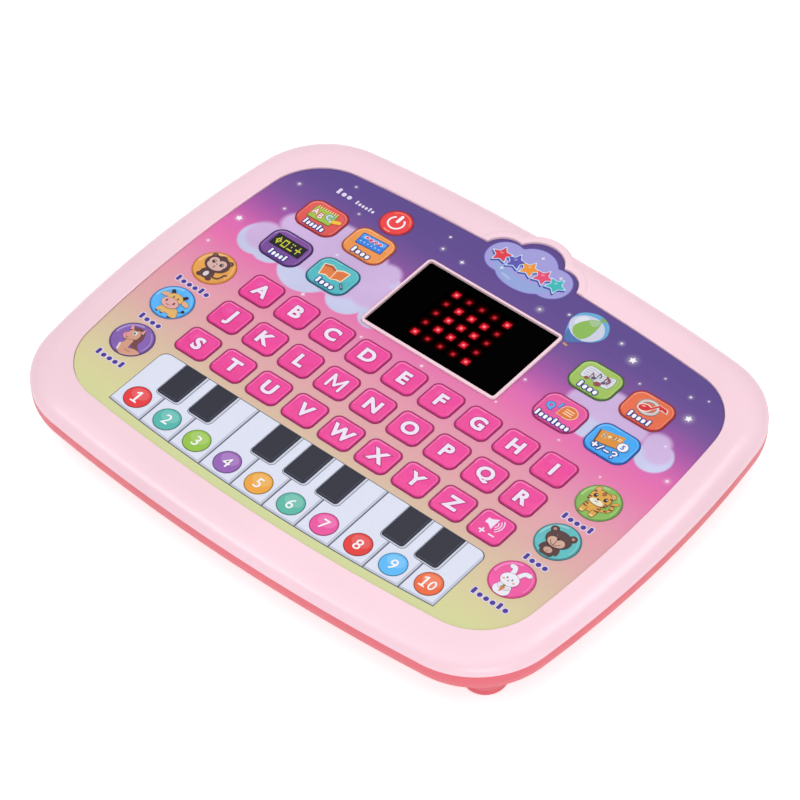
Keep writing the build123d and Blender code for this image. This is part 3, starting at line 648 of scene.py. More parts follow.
def letter_keys():
    material = key_plastic("key_pink", HOT_PINK, mixed(HOT_PINK, DEEP_PINK, SIDE_SHADE))
    for letter in "abcdefghijklmnopqrstuvwxyz":
        name = "key_" + letter
        assign(name, material)
        _, _, half_x, half_y, _ = place(name)
        art = key_base(name, half_x, half_y, 3.0, HOT_PINK, DEEP_PINK)
        if letter == "m":
            legs = ([(-2.85, -3.0), (-2.85, 3.0)], [(2.85, -3.0), (2.85, 3.0)], [(-2.75, 2.9), (0, -1.7)], [(2.75, 2.9), (0, -1.7)])
            for leg in legs:
                art.fill(2, LETTER_EDGE, stroke(leg, 1.7))
                art.fill(3, LETTER_WHITE, stroke(leg, 1.1))
        else:
            art.text(2, LETTER_EDGE, letter.upper(), 0, 0, 6.8, 0.08, 1.06)
            art.text(3, LETTER_WHITE, letter.upper(), 0, 0, 6.8, 0.04, 1.06)
        art.done()
    assign("key_volume", material)
    _, _, half_x, half_y, _ = place("key_volume")
    art = key_base("key_volume", half_x, half_y, 3.0, HOT_PINK, DEEP_PINK)
    art.fill(2, LETTER_WHITE, [(-3.4, 0.6), (-2.0, 0.6), (0.3, -0.9), (0.3, 4.5), (-2.0, 3.0), (-3.4, 3.0)])
    for reach in (1.3, 2.3, 3.3):
        arc = [(0.2 + reach * math.cos(a / 10), 1.8 + reach * 1.1 * math.sin(a / 10)) for a in range(-9, 10)]
        art.fill(2, LETTER_WHITE, stroke(arc, 0.4))
    plus_sign(art, 2, LETTER_WHITE, -1.9, -3.1, 2.6, 0.65)
    art.fill(2, LETTER_WHITE, rounded(2.3, -3.1, 2.6, 0.65, 0.2))
    art.done()


def plus_sign(art, layer, colour, x, y, size, width):
    s, w = size / 2, width / 2
    art.fill(layer, colour, [(x + px, y + py) for px, py in (
        (w, w), (w, s), (-w, s), (-w, w), (-s, w), (-s, -w), (-w, -w), (-w, -s), (w, -s), (w, -w), (s, -w), (s, w))])


def label_marks(art, layer, count, y, width, size, fill, outline, edge):
    """A row of plain bars and dots, this wide in all, that stands where a word would be."""
    pitch = width / count
    for number in range(count):
        x = (number - (count - 1) / 2) * pitch
        tall = number % 4 == 0
        height = size if tall else size * 0.7
        wide = pitch * (0.5 if tall else 0.7)
        middle = y - (size - height) / 2
        bend = wide * 0.3 if tall else min(wide, height) / 2 - 0.05
        art.fill(layer, outline, rounded(x, middle, wide + 2 * edge, height + 2 * edge, bend + edge, steps=5))
        art.fill(layer + 1, fill, rounded(x, middle, wide, height, bend, steps=5))


def notebook_icon(art):
    art.fill(2, (78, 110, 40), rounded(-0.6, 1.0, 10.8, 6.6, 0.5, 3))
    art.fill(3, (164, 194, 74), rounded(-0.6, 1.1, 10.3, 6.0, 0.4, 3))
    for step in range(9):
        art.fill(4, (246, 226, 150), rounded(-4.9 + step * 1.08, 4.2 + step * 0.06, 0.4, 1.2, 0.15, 3))
    for letter, rim, x, y in (("A", (214, 130, 120), -4.2, 1.5), ("B", (216, 60, 100), -1.1, 0.5), ("C", (70, 160, 190), 2.0, 1.9)):
        art.text(4, rim, letter, x, y, 3.3, 0.1)
        art.text(5, (250, 240, 246), letter, x, y, 3.1, 0.01)
    art.fill(6, (246, 196, 60), stroke([(4.9, 0.9), (7.0, 1.8)], 1.8))
    art.fill(7, (246, 226, 220), [(3.2, -0.1), (4.2, -0.1), (3.7, 1.2)])


def card_icon(art):
    art.fill(2, (30, 70, 160), rounded(0.1, 1.7, 12.0, 6.2, 0.4, 4))
    art.fill(3, (52, 128, 226), rounded(0.1, 1.7, 11.4, 5.6, 0.3, 4))
    art.fill(3.5, (98, 170, 244), rounded(0, 3.1, 10.6, 2.0, 0.3, 4))
    wave = [(-3.6 + 0.3 * k, 2.6 + 0.7 * math.sin(k * 0.9)) for k in range(25)]
    art.fill(5, WHITE, stroke(wave, 1.15))
    art.fill(6, (232, 70, 110), stroke(wave, 0.65))
    for step in range(6):
        art.fill(4, (170, 214, 250), ellipse(-4.2 + step * 1.7, 0.1 + step * 0.1, 0.36, points=12))


def dotted_icon(art):
    art.fill(2, (22, 20, 30), rounded(0, 1.35, 14.6, 6.3, 0.3))
    shapes = (lambda c, r: abs(c) + abs(r) in (2, 1), lambda c, r: max(abs(c), abs(r)) == 2,
              lambda c, r: r == -2 or c == r / 2 or c == -r / 2, lambda c, r: c == 0 or r == 0)
    for number, keep in enumerate(shapes):
        for column in range(-2, 3):
            for row in range(-2, 3):
                if keep(column, row):
                    x, y = -4.8 + number * 3.2 + column * 0.5, 1.35 + row * 0.8
                    art.fill(3, (226, 226, 60), rounded(x, y, 0.42, 0.66, 0.1, steps=2))


def book_icon(art):
    left = [(-6.6, 3.1), (-3.6, 4.1), (-0.6, 2.9), (0, -1.9), (-2.6, -1.2), (-5.2, -2.2)]
    right = [(-0.6, 2.9), (1.6, 4.3), (4.5, 4.5), (4.2, -0.6), (2.2, -0.8), (0, -1.9)]
    for page in (left, right):
        art.fill(2, (250, 226, 190), grown(page, 0.35))
        art.fill(3, (228, 124, 66), grown(page, -0.25))
    art.fill(4, (168, 88, 62), stroke([(-5.7, 2.7), (-3.4, 3.5), (-1.3, 2.7)], 1.0))
    for step in range(3):
        art.fill(4, (210, 104, 52), stroke([(0.7, 2.1 - step * 1.3), (3.8, 2.9 - step * 1.3)], 0.3))
    art.fill(4, (60, 80, 96), stroke([(5.2, -1.6), (6.8, -3.2)], 1.1))
    art.fill(5, (150, 170, 186), stroke([(5.3, -1.7), (6.5, -2.9)], 0.45))


def grown(loop, by):
    """A convex-ish loop pushed out from its middle."""
    cx = sum(x for x, _ in loop) / len(loop)
    cy = sum(y for _, y in loop) / len(loop)
    return [(x + by * (x - cx) / math.hypot(x - cx, y - cy), y + by * (y - cy) / math.hypot(x - cx, y - cy)) for x, y in loop]


def note(art, layer, colour, x, y, size=1.0):
    """An eighth note with its head at x, y."""
    art.fill(layer, colour, ellipse(x, y, 0.95 * size, 0.7 * size, 20, 18))
    art.fill(layer, colour, stroke([(x + 0.8 * size, y + 0.1), (x + 0.8 * size, y + 3.2 * size)], 0.32 * size))
    flag = [(x + 0.75 * size, y + 3.3 * size), (x + 2.0 * size, y + 2.3 * size), (x + 1.9 * size, y + 1.4 * size)]
    art.fill(layer, colour, stroke(flag, 0.5 * size))


def song_icon(art):
    sheet = curve([(-6.1, 4.0), (-2, 4.6), (2, 3.8), (5.9, 4.4), (5.9, -0.6), (2, -1.4), (-2, -0.6), (-6.1, -1.4)], True)
    art.fill(2, (120, 140, 130), grown(sheet, 0.2))
    art.fill(3, (220, 222, 232), sheet)
    for step in range(4):
        line = [(-5.6 + k, -0.1 + step * 1.15 + 0.3 * math.sin(k * 0.8)) for k in range(12)]
        art.fill(4, (136, 140, 166), stroke(line, 0.16))
    note(art, 5, (150, 74, 80), -3.6, -1.1, 0.95)
    note(art, 5, (92, 84, 110), -1.3, 0.2, 1.0)
    note(art, 5, (150, 74, 80), 1.5, -1.3, 1.5)
    note(art, 5, (92, 84, 130), 3.0, 0.4, 0.9)


def music_icon(art):
    for layer, colour, out, hole in ((2, (140, 130, 136), 0.35, 1.5), (3, (214, 202, 198), 0, 1.1)):
        ring = [ellipse(-0.5, 1.5, 4.2 + by, 3.7 + by) for by in (out, -hole)]
        art.fill(layer, colour, *ring)
    flag = [(2.2, 4.7), (5.6, 4.4), (6.4, 2.8), (4.2, 3.2), (3.2, 2.6)]
    for layer, colour, by in ((4, (246, 222, 214), 0.5), (6, (216, 40, 48), 0)):
        art.fill(layer, colour, ellipse(-1.7, 0.5, 2.3 + by, 1.5 + by, 18))
        art.fill(layer + 1, colour, stroke([(0.2, 0.8), (2.5, 4.4)], 0.8 + by))
        art.fill(layer + 1, colour, grown(flag, by))
    art.fill(8, (250, 170, 160), ellipse(-2.3, 0.9, 0.8, 0.35, 18, 14))


def question_icon(art):
    for letter, x, y, tall in (("Q", -5.0, 0.6, 3.3), ("?", -1.9, 2.8, 2.9)):
        art.text(2, (34, 108, 190), letter, x, y, tall * 1.06, 0.09)
        art.text(3, (92, 186, 240), letter, x, y, tall, 0.03)
    for layer, colour, by in ((2, (248, 214, 176), 0.35), (4, (224, 120, 56), 0)):
        art.fill(layer, colour, ellipse(2.6, 1.6, 3.3 + by, 2.8 + by))
        art.fill(layer + 1, colour, grown([(-0.8, 1.6), (-0.8, -1.2), (2.6, -1.2)], by))
    for step in range(3):
        art.fill(6, (255, 220, 180), stroke([(0.9, 2.6 - step * 1.1), (4.4, 2.6 - step * 1.1)], 0.45))


def sums_icon(art):
    art.fill(2, (104, 62, 60), rounded(-2.0, 0.9, 9.9, 6.4, 0.4, 12))
    art.fill(3, (222, 146, 54), rounded(-1.6, 1.1, 9.5, 6.1, 0.4, 12))
    cream = (248, 226, 180)
    for figure, x, y, tall in (("2", -4.3, 1.4, 2.4), ("3", -0.5, 2.4, 2.4)):
        art.text(4, cream if figure == "2" else (120, 72, 60), figure, x, y, tall, 0.08)
        art.text(5, (66, 56, 140) if figure == "2" else cream, figure, x, y, tall, 0.01)
    plus_sign(art, 4, cream, -2.4, 1.9, 1.5, 0.5)
    for lift in (-0.4, 0.4):
        art.fill(4, cream, rounded(1.4, 2.9 + lift, 1.5, 0.4, 0.15, 8))
    art.fill(5, (96, 110, 170), ellipse(4.4, 0.7, 2.3))
    art.fill(6, (246, 244, 250), ellipse(4.4, 0.7, 2.0))
    art.text(7, (66, 110, 190), "5", 4.4, 0.7, 2.4)


def sum_signs(art):
    """Plus, stroke, minus and question marks along the foot of the sums key."""
    hook = curve([(2.9, -3.3), (3.7, -2.7), (4.7, -3.2), (4.5, -4.0), (3.8, -4.6)])
    for layer, colour, by in ((3, NAVY, 0.8), (4, WHITE, 0)):
        plus_sign(art, layer, colour, -4.6, -4.1, 2.5 + by, 0.75 + by)
        art.fill(layer, colour, stroke([(-2.6, -5.4), (-1.5, -2.9)], 0.6 + by))
        art.fill(layer, colour, stroke([(-0.3, -4.3), (1.5, -4.3)], 0.7 + by))
        art.fill(layer, colour, stroke(hook, 0.65 + by))
        art.fill(layer, colour, ellipse(3.8, -5.5, 0.4 + by / 2, points=16))


# Each mode key's face and edge colours, its icon, and its label as a count of marks and a width in mm.
MODES = {
    "mode_notebook": ((226, 78, 72), (140, 36, 48), notebook_icon, 6, 9.9),
    "mode_word_card": ((240, 148, 66), (160, 70, 56), card_icon, 4, 9.1),
    "mode_spelling": ((116, 62, 150), (50, 26, 84), dotted_icon, 5, 8.7),
    "mode_book": ((70, 182, 192), (28, 84, 110), book_icon, 4, 8.7),
    "mode_song": ((154, 190, 78), (56, 92, 44), song_icon, 4, 9.3),
    "mode_music": ((228, 98, 54), (150, 34, 48), music_icon, 5, 10.2),
    "mode_question": ((228, 70, 150), (140, 30, 96), question_icon, 8, 15.6),
    "mode_sums": ((44, 162, 244), (30, 74, 150), sums_icon, 0, 0),
}


def mode_keys():
    for name, (face, edge, icon, marks, width) in MODES.items():
        assign(name, key_plastic(name + "_skin", face, mixed(face, edge, SIDE_SHADE)))
        _, _, half_x, half_y, _ = place(name)
        art = key_base(name, half_x, half_y, 5.0, face, edge)
        icon(art)
        if marks:
            label_marks(art, 3, marks, -4.7, width, 2.9, WHITE, NAVY, 0.42)
        else:
            sum_signs(art)
        art.done()


def power_key():
    name = "power_key"
    red, edge = (236, 52, 56), (150, 24, 40)
    assign(name, key_plastic("power_skin", red, mixed(red, edge, SIDE_SHADE)))
    x, y, half, _, top = place(name)
    art = Print(name + "_print", name, x, y, top)
    art.fill(0, edge, ellipse(0, 0, half - 0.2), ellipse(0, 0, half - 0.55))
    art.fill(0, (250, 130, 110), stroke([(5.3 * math.cos(a / 10), 5.3 * math.sin(a / 10)) for a in range(3, 25)], 0.4))
    art.fill(0, (255, 150, 130), stroke([(5.4 * math.cos(a / 10), 5.4 * math.sin(a / 10)) for a in range(-19, -13)], 0.6))
    art.fill(1, WHITE, stroke([(3.2 * math.sin(a / 10), -0.1 - 3.2 * math.cos(a / 10)) for a in range(-24, 25)], 0.75))
    art.fill(1, WHITE, stroke([(0, 0.6), (0, 3.7)], 1.35))
    art.done()


# ---------------------------------------------------------------- animals
BROWN, TAN, DARK = (88, 58, 60), (216, 176, 168), (52, 32, 40)


def edged(art, layer, colour, edge, loop, by=0.16):
    """A shape with a thin drawn outline."""
    art.fill(layer, edge, grown(loop, by))
    art.fill(layer + 1, colour, loop)


def eyes(art, layer, spots, size, colour=DARK):
    for x, y in spots:
        art.fill(layer, colour, ellipse(x, y, size, size * 1.15, points=18))
        art.fill(layer + 1, WHITE, ellipse(x + size * 0.3, y + size * 0.4, size * 0.3, points=10))


def smile(art, layer, x, y, width, depth=0.35, colour=DARK):
    art.fill(layer, colour, stroke(curve([(x - width, y + depth), (x, y), (x + width, y + depth)], steps=5), 0.2))


def monkey(art):
    art.fill(1, BROWN, stroke(curve([(2.4, -4.2), (4.4, -3.9), (5.4, -2.4), (5.6, -0.9), (6.4, -0.4)]), 0.75))
    art.fill(1, BROWN, ellipse(-0.4, -3.7, 3.0, 2.7))
    for x in (-2.5, 1.8):
        art.fill(2, BROWN, ellipse(x, -5.7, 1.25, 1.1))
    art.fill(3, (216, 208, 212), ellipse(-0.5, -4.2, 1.0, 1.4))
    for x in (-4.1, 3.6):
        art.fill(2, BROWN, ellipse(x, 5.1, 1.25))
        art.fill(3, (140, 100, 100), ellipse(x, 5.1, 0.6))
    art.fill(3, BROWN, ellipse(-0.3, 2.1, 5.3, 4.3))
    art.fill(4, BROWN, ellipse(-0.3, 6.2, 1.3, 0.7))
    art.fill(5, TAN, lobed((-0.5, 1.6), [(-2.3, 2.7, 2.0, 2.0), (1.3, 2.7, 2.0, 2.0), (-0.5, 0.9, 3.5, 2.2)]))
    eyes(art, 6, ((-2.3, 2.5), (1.4, 2.5)), 0.8)
    art.fill(6, DARK, ellipse(-0.5, 1.9, 0.3, 0.24, points=14))
    art.fill(6, (150, 92, 96), ellipse(-0.5, 0.3, 0.32, 0.6, points=16))


def calf(art):
    coat, muzzle, edge = (228, 180, 108), (226, 170, 168), (128, 84, 62)
    art.fill(1, DARK, stroke(curve([(4.9, -2.6), (6.0, -2.5), (6.6, -1.7)]), 0.3))
    art.fill(2, DARK, ellipse(6.6, -1.5, 0.75, points=16))
    edged(art, 1, coat, edge, curve([(-0.6, -2.0), (1.6, -1.6), (4.6, -2.4), (6.0, -4.4), (6.2, -6.0), (4.4, -5.8), (1.2, -5.6),
                                     (-2.0, -5.6), (-2.0, -3.6)], True))
    for x in (-1.9, 0.3, 3.9, 5.3):
        art.fill(3, coat, rounded(x, -5.7, 1.3, 2.0, 0.5))
        art.fill(4, DARK, rounded(x, -6.7, 1.2, 0.5, 0.2))
    for side, x in ((-1, -4.4), (1, 4.6)):
        edged(art, 3, coat, edge, ellipse(x, 1.9, 2.0, 1.0, side * -18))
        art.fill(5, muzzle, ellipse(x, 1.8, 1.2, 0.5, side * -18))
    for near, far in (((-2.2, 3.3), (-3.4, 4.7)), ((1.9, 3.3), (2.9, 4.7))):
        art.fill(3, DARK, stroke([near, far], 1.6))
    edged(art, 5, coat, edge, ellipse(-0.2, 1.7, 3.3, 2.6))
    edged(art, 7, muzzle, edge, ellipse(-0.3, -1.0, 3.7, 2.5))
    for x in (-2.2, 1.3):
        art.fill(9, (130, 40, 60), ellipse(x, -0.6, 0.42, 0.7, points=16))
    for x in (-1.2, 0.9):
        art.fill(9, edge, ellipse(x, 2.2, 0.35, 0.5, points=14))
    smile(art, 9, -0.4, -2.3, 0.9)


def horse(art):
    coat, mane, edge = (212, 156, 130), (116, 68, 74), (130, 78, 78)
    art.fill(1, mane, curve([(-2.7, 5.1), (-0.6, 6.1), (1.9, 5.1), (3.4, 2.2), (3.7, -1.2), (6.3, -3.6), (5.2, -5.0), (1.8, -3.0),
                             (1.0, 0.6), (0.6, 3.2), (-1.0, 4.3)], True))
    edged(art, 2, coat, edge, curve([(-1.1, -0.4), (-1.6, -2.8), (-1.9, -5.0), (-1.0, -7.4), (2.0, -8.2), (5.4, -7.0), (8.0, -4.9),
                                     (6.2, -3.6), (3.6, -3.6), (1.9, -4.4), (1.3, -2.4), (1.0, -0.6)], True), 0.12)
    art.fill(4, (226, 206, 206), stroke([(-2.1, -4.3), (-1.2, -6.9)], 0.8))
    art.fill(4, edge, stroke(curve([(1.0, -5.0), (2.2, -5.6), (3.6, -5.4)]), 0.2))
    edged(art, 4, coat, edge, curve([(-2.9, 3.8), (-0.6, 4.6), (1.3, 3.2), (1.5, 0.6), (-0.6, -0.7), (-2.3, -1.5), (-3.7, -1.1),
                                     (-4.2, 0.5), (-3.4, 1.9)], True), 0.12)
    for loop in ([(0.4, 4.0), (1.2, 6.6), (1.9, 3.9)], [(-4.9, 6.0), (-4.0, 3.2), (-2.7, 4.0)]):
        art.fill(6, edge, grown(loop, 0.2))
        art.fill(7, (228, 160, 160), loop)
    art.fill(6, (228, 148, 156), ellipse(-3.2, 0.3, 1.2, 1.25))
    art.fill(7, edge, ellipse(-3.6, 0.6, 0.2, 0.3, points=10))
    art.fill(6, mane, curve([(-0.6, 5.4), (-2.9, 5.2), (-2.6, 3.8), (-1.0, 3.9)], True))
    art.fill(7, WHITE, ellipse(-0.9, 2.5, 0.8, 0.95, points=18))
    art.fill(8, (92, 104, 140), ellipse(-1.0, 2.4, 0.5, 0.65, points=14))
    smile(art, 7, -2.3, -0.7, 0.5)


def tiger(art):
    fur, stripe = (222, 166, 72), (122, 64, 50)
    tail = curve([(2.6, -2.6), (4.6, -1.8), (5.4, 0.2), (4.6, 2.2), (5.9, 3.2)])
    art.fill(1, stripe, stroke(tail, 1.5))
    art.fill(2, fur, stroke(tail, 1.15))
    for x, y in ((4.3, -2.0), (5.3, -0.3), (4.9, 1.6)):
        art.fill(3, stripe, rounded(x, y, 1.3, 0.65, 0.15, 20))
    edged(art, 1, fur, stripe, rounded(-0.7, -3.5, 6.4, 3.8, 1.2), 0.24)
    for x in (-2.9, 1.4):
        edged(art, 2, fur, stripe, rounded(x, -5.4, 2.1, 3.0, 0.8), 0.24)
        art.fill(4, (240, 214, 140), ellipse(x, -6.4, 0.9, 0.4, points=16))
    for side, x in ((-1, -3.3), (1, 1.9)):
        for y in (-2.6, -3.9):
            art.fill(4, stripe, rounded(x, y, 1.5, 0.6, 0.15, side * 14))
    for x in (-3.7, 2.4):
        edged(art, 2, fur, stripe, ellipse(x, 5.0, 1.25))
        art.fill(4, (226, 176, 150), ellipse(x, 5.0, 0.6))
    edged(art, 4, fur, stripe, rounded(-0.7, 1.8, 8.2, 7.0, 3.1), 0.24)
    art.fill(6, (232, 230, 208), ellipse(-0.9, -0.4, 2.9, 1.3))
    for y, width in ((5.0, 0.6), (4.3, 0.9), (3.6, 0.6)):
        art.fill(6, stripe, rounded(-0.7, y, 2 * width, 0.45, 0.15))
    for side, x in ((-1, -4.2), (1, 2.8)):
        for y in (3.6, 0.6, -0.4):
            art.fill(6, stripe, rounded(x, y, 1.3, 0.55, 0.15, side * -10))
    eyes(art, 7, ((-2.9, 2.1), (1.4, 2.2)), 0.82)
    art.fill(7, DARK, ellipse(-1.0, 0.9, 0.55, 0.4, points=14))
    smile(art, 7, -1.0, -0.4, 0.6, colour=(160, 60, 66))


def bear(art):
    fur, edge = (88, 58, 58), (40, 26, 32)
    edged(art, 1, fur, edge, rounded(-0.1, -5.2, 5.4, 4.6, 1.4))
    for side in (-1, 1):
        art.fill(1, fur, ellipse(side * 3.0 - 0.1, -4.2, 0.9, 1.9, side * 14))
        edged(art, 2, fur, edge, ellipse(side * 4.0 - 0.2, 4.0, 1.45))
        art.fill(4, (190, 140, 136), ellipse(side * 4.0 - 0.2, 4.0, 0.65))
    art.fill(4, (206, 160, 144), ellipse(-0.2, -5.2, 1.7, 1.3))
    art.fill(5, edge, stroke([(-0.2, -5.3), (-0.2, -6.3)], 0.16))
    edged(art, 4, fur, edge, ellipse(-0.1, 0.8, 4.9, 3.9))
    art.fill(6, (212, 168, 150), lobed((-0.1, -0.8), [(-1.6, -0.7, 1.9, 1.8), (1.5, -0.7, 1.9, 1.8), (-0.1, -1.2, 3.1, 1.8)]))
    art.fill(7, edge, stroke([(-0.2, 1.2), (-0.2, -2.4)], 0.2))
    art.fill(7, edge, stroke(curve([(-2.3, -1.0), (-1.4, -2.1), (-0.2, -2.5), (1.0, -2.1), (1.9, -1.0)]), 0.22))
    art.fill(7, edge, ellipse(-0.2, 0.7, 0.6, 0.4, points=16))
    eyes(art, 6, ((-1.9, 1.9), (1.6, 1.9)), 0.36, (30, 20, 26))


def rabbit(art):
    fur, edge = (236, 234, 244), (150, 110, 150)
    edged(art, 1, fur, edge, lobed((0, -5.6), [(0, -6.0, 3.3, 2.5), (0, -4.6, 2.8, 2.1)]))
    for ear in ([(-1.4, 1.4), (-1.5, 3.3), (-2.2, 4.6), (-3.4, 4.7)], [(1.1, 1.4), (1.7, 3.2), (2.6, 4.5), (4.2, 4.7)]):
        art.fill(1, edge, stroke(curve(ear), 2.1))
        art.fill(2, fur, stroke(curve(ear), 1.8))
    edged(art, 3, fur, edge, ellipse(-0.3, -0.8, 3.6, 2.9))
    for x in (-1.6, 0.6):
        art.fill(5, (104, 92, 118), ellipse(x, -0.5, 0.3, 0.46, points=16))
    for x in (-2.5, 1.8):
        art.fill(5, (236, 176, 160), ellipse(x, -1.5, 0.6, 0.45, points=14))
    art.fill(5, (206, 120, 140), ellipse(-0.5, -1.2, 0.26, 0.2, points=12))
    smile(art, 5, -0.5, -1.8, 0.4, 0.2, (150, 110, 130))
    art.fill(5, (214, 128, 70), [(-1.0, -4.5), (0.7, -4.5), (0.1, -7.1), (-0.3, -7.1)])
    art.fill(6, (120, 130, 60), star(-0.2, -4.1, 0.8, 0.35))
    for reach in ([(-2.3, -4.6), (-1.2, -5.4)], [(1.9, -4.6), (0.9, -5.4)]):
        art.fill(6, edge, stroke(reach, 0.9))
        art.fill(7, fur, stroke(reach, 0.7))


ANIMALS = {
    "animal_monkey": ((228, 158, 66), (190, 110, 40), monkey, 6),
    "animal_calf": ((78, 176, 246), (40, 104, 170), calf, 4),
    "animal_horse": ((130, 90, 176), (80, 48, 116), horse, 5),
    "animal_tiger": ((128, 182, 74), (96, 130, 70), tiger, 5),
    "animal_bear": ((80, 182, 186), (50, 106, 116), bear, 4),
    "animal_rabbit": ((238, 72, 158), (190, 60, 120), rabbit, 6),
}


def animal_keys():
    for name, (face, edge, draw, words) in ANIMALS.items():
        assign(name, key_plastic(name + "_skin", face, mixed(face, edge, SIDE_SHADE)))
        x, y, half, _, top = place(name)
        art = Print(name + "_print", name, x, y, top, half - 0.15)
        art.fill(0, edge, ellipse(0, 0, half - 0.2, points=64), ellipse(0, 0, half - 0.5, points=64))
        for start, end, width, share in ((17, 33, 0.9, 0.34), (-3, 11, 0.5, 0.26)):
            shine = [((half - 1.3) * math.cos(a / 10), (half - 1.3) * math.sin(a / 10)) for a in range(start, end)]
            art.fill(0, mixed(face, WHITE, share), stroke(shine, width))
        draw(art)
        art.done()
        label = Print(name + "_label", "housing", x, y - half - 3.4, FACE_Z)
        label_marks(label, 0, words, 0, words * 2.85, 2.9, VIOLET_INK, (226, 214, 236), 0.4)
        label.done()


# ---------------------------------------------------------------- printed piano
PIANO_WIDTH = 154.4
PIANO_BACK = -40.5
PIANO_FRONT = -70.7  # at its two ends
PIANO_BOW = 805.0
NOTE_COUNT = 10
NOTE_PITCH = 15.37
NOTE_SHIFT = 0.58  # how far the middle seam sits to the right
SHARPS = (1, 2, 4, 5, 6, 8, 9)  # the seams that carry a black key
DISC_COLOURS = [
    (230, 56, 62), (84, 184, 174), (150, 196, 72), (150, 98, 182), (238, 166, 62),
    (92, 184, 166), (236, 84, 162), (228, 60, 58), (92, 186, 248), (238, 106, 62),
]


def piano_front(x):
    """The bowed front edge of the piano strip."""
    sag = math.sqrt(PIANO_BOW ** 2 - x * x) - math.sqrt(PIANO_BOW ** 2 - (PIANO_WIDTH / 2) ** 2)
    return PIANO_FRONT - sag


def seam_x(number):
    """The x of the seam before a note; the first and last are the strip's ends."""
    if number in (0, NOTE_COUNT):
        return math.copysign(PIANO_WIDTH / 2, number - 1)
    return NOTE_SHIFT + (number - NOTE_COUNT / 2) * NOTE_PITCH


def piano():
    half = PIANO_WIDTH / 2
    art = Print("piano_print", "housing", 0, 0, FACE_Z)
    steps = 40
    front = [(-half + PIANO_WIDTH * k / steps, piano_front(-half + PIANO_WIDTH * k / steps)) for k in range(steps + 1)]
    corner = 3.5
    right = [(half - corner + corner * math.cos(a), PIANO_BACK - corner + corner * math.sin(a))
             for a in (math.pi / 2 * k / 8 for k in range(9))]
    left = [(-x, y) for x, y in right[::-1]]
    outline = front + right + left
    art.fill(0, (92, 94, 112), outline)
    for number in range(NOTE_COUNT):
        low_x, high_x = seam_x(number) + 0.3, seam_x(number + 1) - 0.3
        edge = [(low_x + (high_x - low_x) * k / 4, piano_front(low_x + (high_x - low_x) * k / 4) + 0.4) for k in range(5)]
        back = PIANO_BACK - 0.35
        back_right = [(x - 0.3, y - 0.35) for x, y in right] if number == NOTE_COUNT - 1 else [(high_x, back)]
        back_left = [(x + 0.3, y - 0.35) for x, y in left] if number == 0 else [(low_x, back)]
        art.fill(1, (196, 200, 218), edge + back_right + back_left)
        inner = [(min(max(x, low_x), high_x - 1.0), y + 0.9) for x, y in edge]
        back_right = [(min(x, high_x - 1.0), y) for x, y in back_right]
        art.fill(2, (222, 226, 243), inner + back_right + back_left)
    for seam in SHARPS:
        black_key(art, seam_x(seam))
    for number, colour in enumerate(DISC_COLOURS):
        x = (seam_x(number) + seam_x(number + 1)) / 2
        y = piano_front(x) + 7.45
        art.fill(5, scaled(colour, 0.6), ellipse(x, y, 5.35, points=48))
        art.fill(6, colour, ellipse(x, y, 5.0, points=48))
        art.fill(6.5, mixed(colour, WHITE, 0.18), ellipse(x, y + 1.6, 3.7, 2.7, points=32))
        if number + 1 < NOTE_COUNT:
            digit(art, 7.5, str(number + 1), x, y, 5.6)
        else:
            digit(art, 7.5, "1", x - 1.7, y, 5.0)
            digit(art, 7.5, "0", x + 1.5, y, 5.0)
    art.done()


def digit(art, layer, figure, x, y, height):
    """A white figure; the one has a foot."""
    if figure != "1":
        art.text(layer, WHITE, figure, x, y, height, 0.004)
        return
    one = [(-0.26, -0.5), (0.26, -0.5), (0.26, -0.38), (0.08, -0.38), (0.08, 0.5), (-0.05, 0.5), (-0.27, 0.34),
           (-0.27, 0.21), (-0.08, 0.31), (-0.08, -0.38), (-0.26, -0.38)]
    art.fill(layer, WHITE, [(x + px * height, y + py * height) for px, py in one])


def black_key(art, x):
    wide, long, radius = 10.2, 16.6, 1.4
    back = PIANO_BACK - 0.3
    middle = back - long / 2
    for layer, colour, grow, shift in ((3, (120, 122, 140), 1.5, 0.35), (4, (206, 210, 226), 0.9, 0.35), (5, CHARCOAL, 0, 0)):
        width, depth = wide + grow, long + grow / 2
        lower = [p for p in rounded(x + shift, back - depth / 2, width, depth, radius + grow / 2) if p[1] < middle]
        lower.sort(key=lambda p: p[0])
        art.fill(layer, colour, lower + [(x + shift + width / 2, back), (x + shift - width / 2, back)])
    art.fill(6, (66, 68, 88), stroke([(x + wide / 2 - 0.9, back - 1.0), (x + wide / 2 - 0.9, back - long + 1.6)], 0.35))
    art.fill(6, (66, 68, 88), stroke([(x - wide / 2 + 1.4, back - long + 0.9), (x + wide / 2 - 1.4, back - long + 0.9)], 0.35))


# ---------------------------------------------------------------- plaque, balloon and stars
PLAQUE_STARS = [(226, 58, 70), (92, 84, 178), (240, 150, 50), (230, 76, 116), (58, 184, 184)]


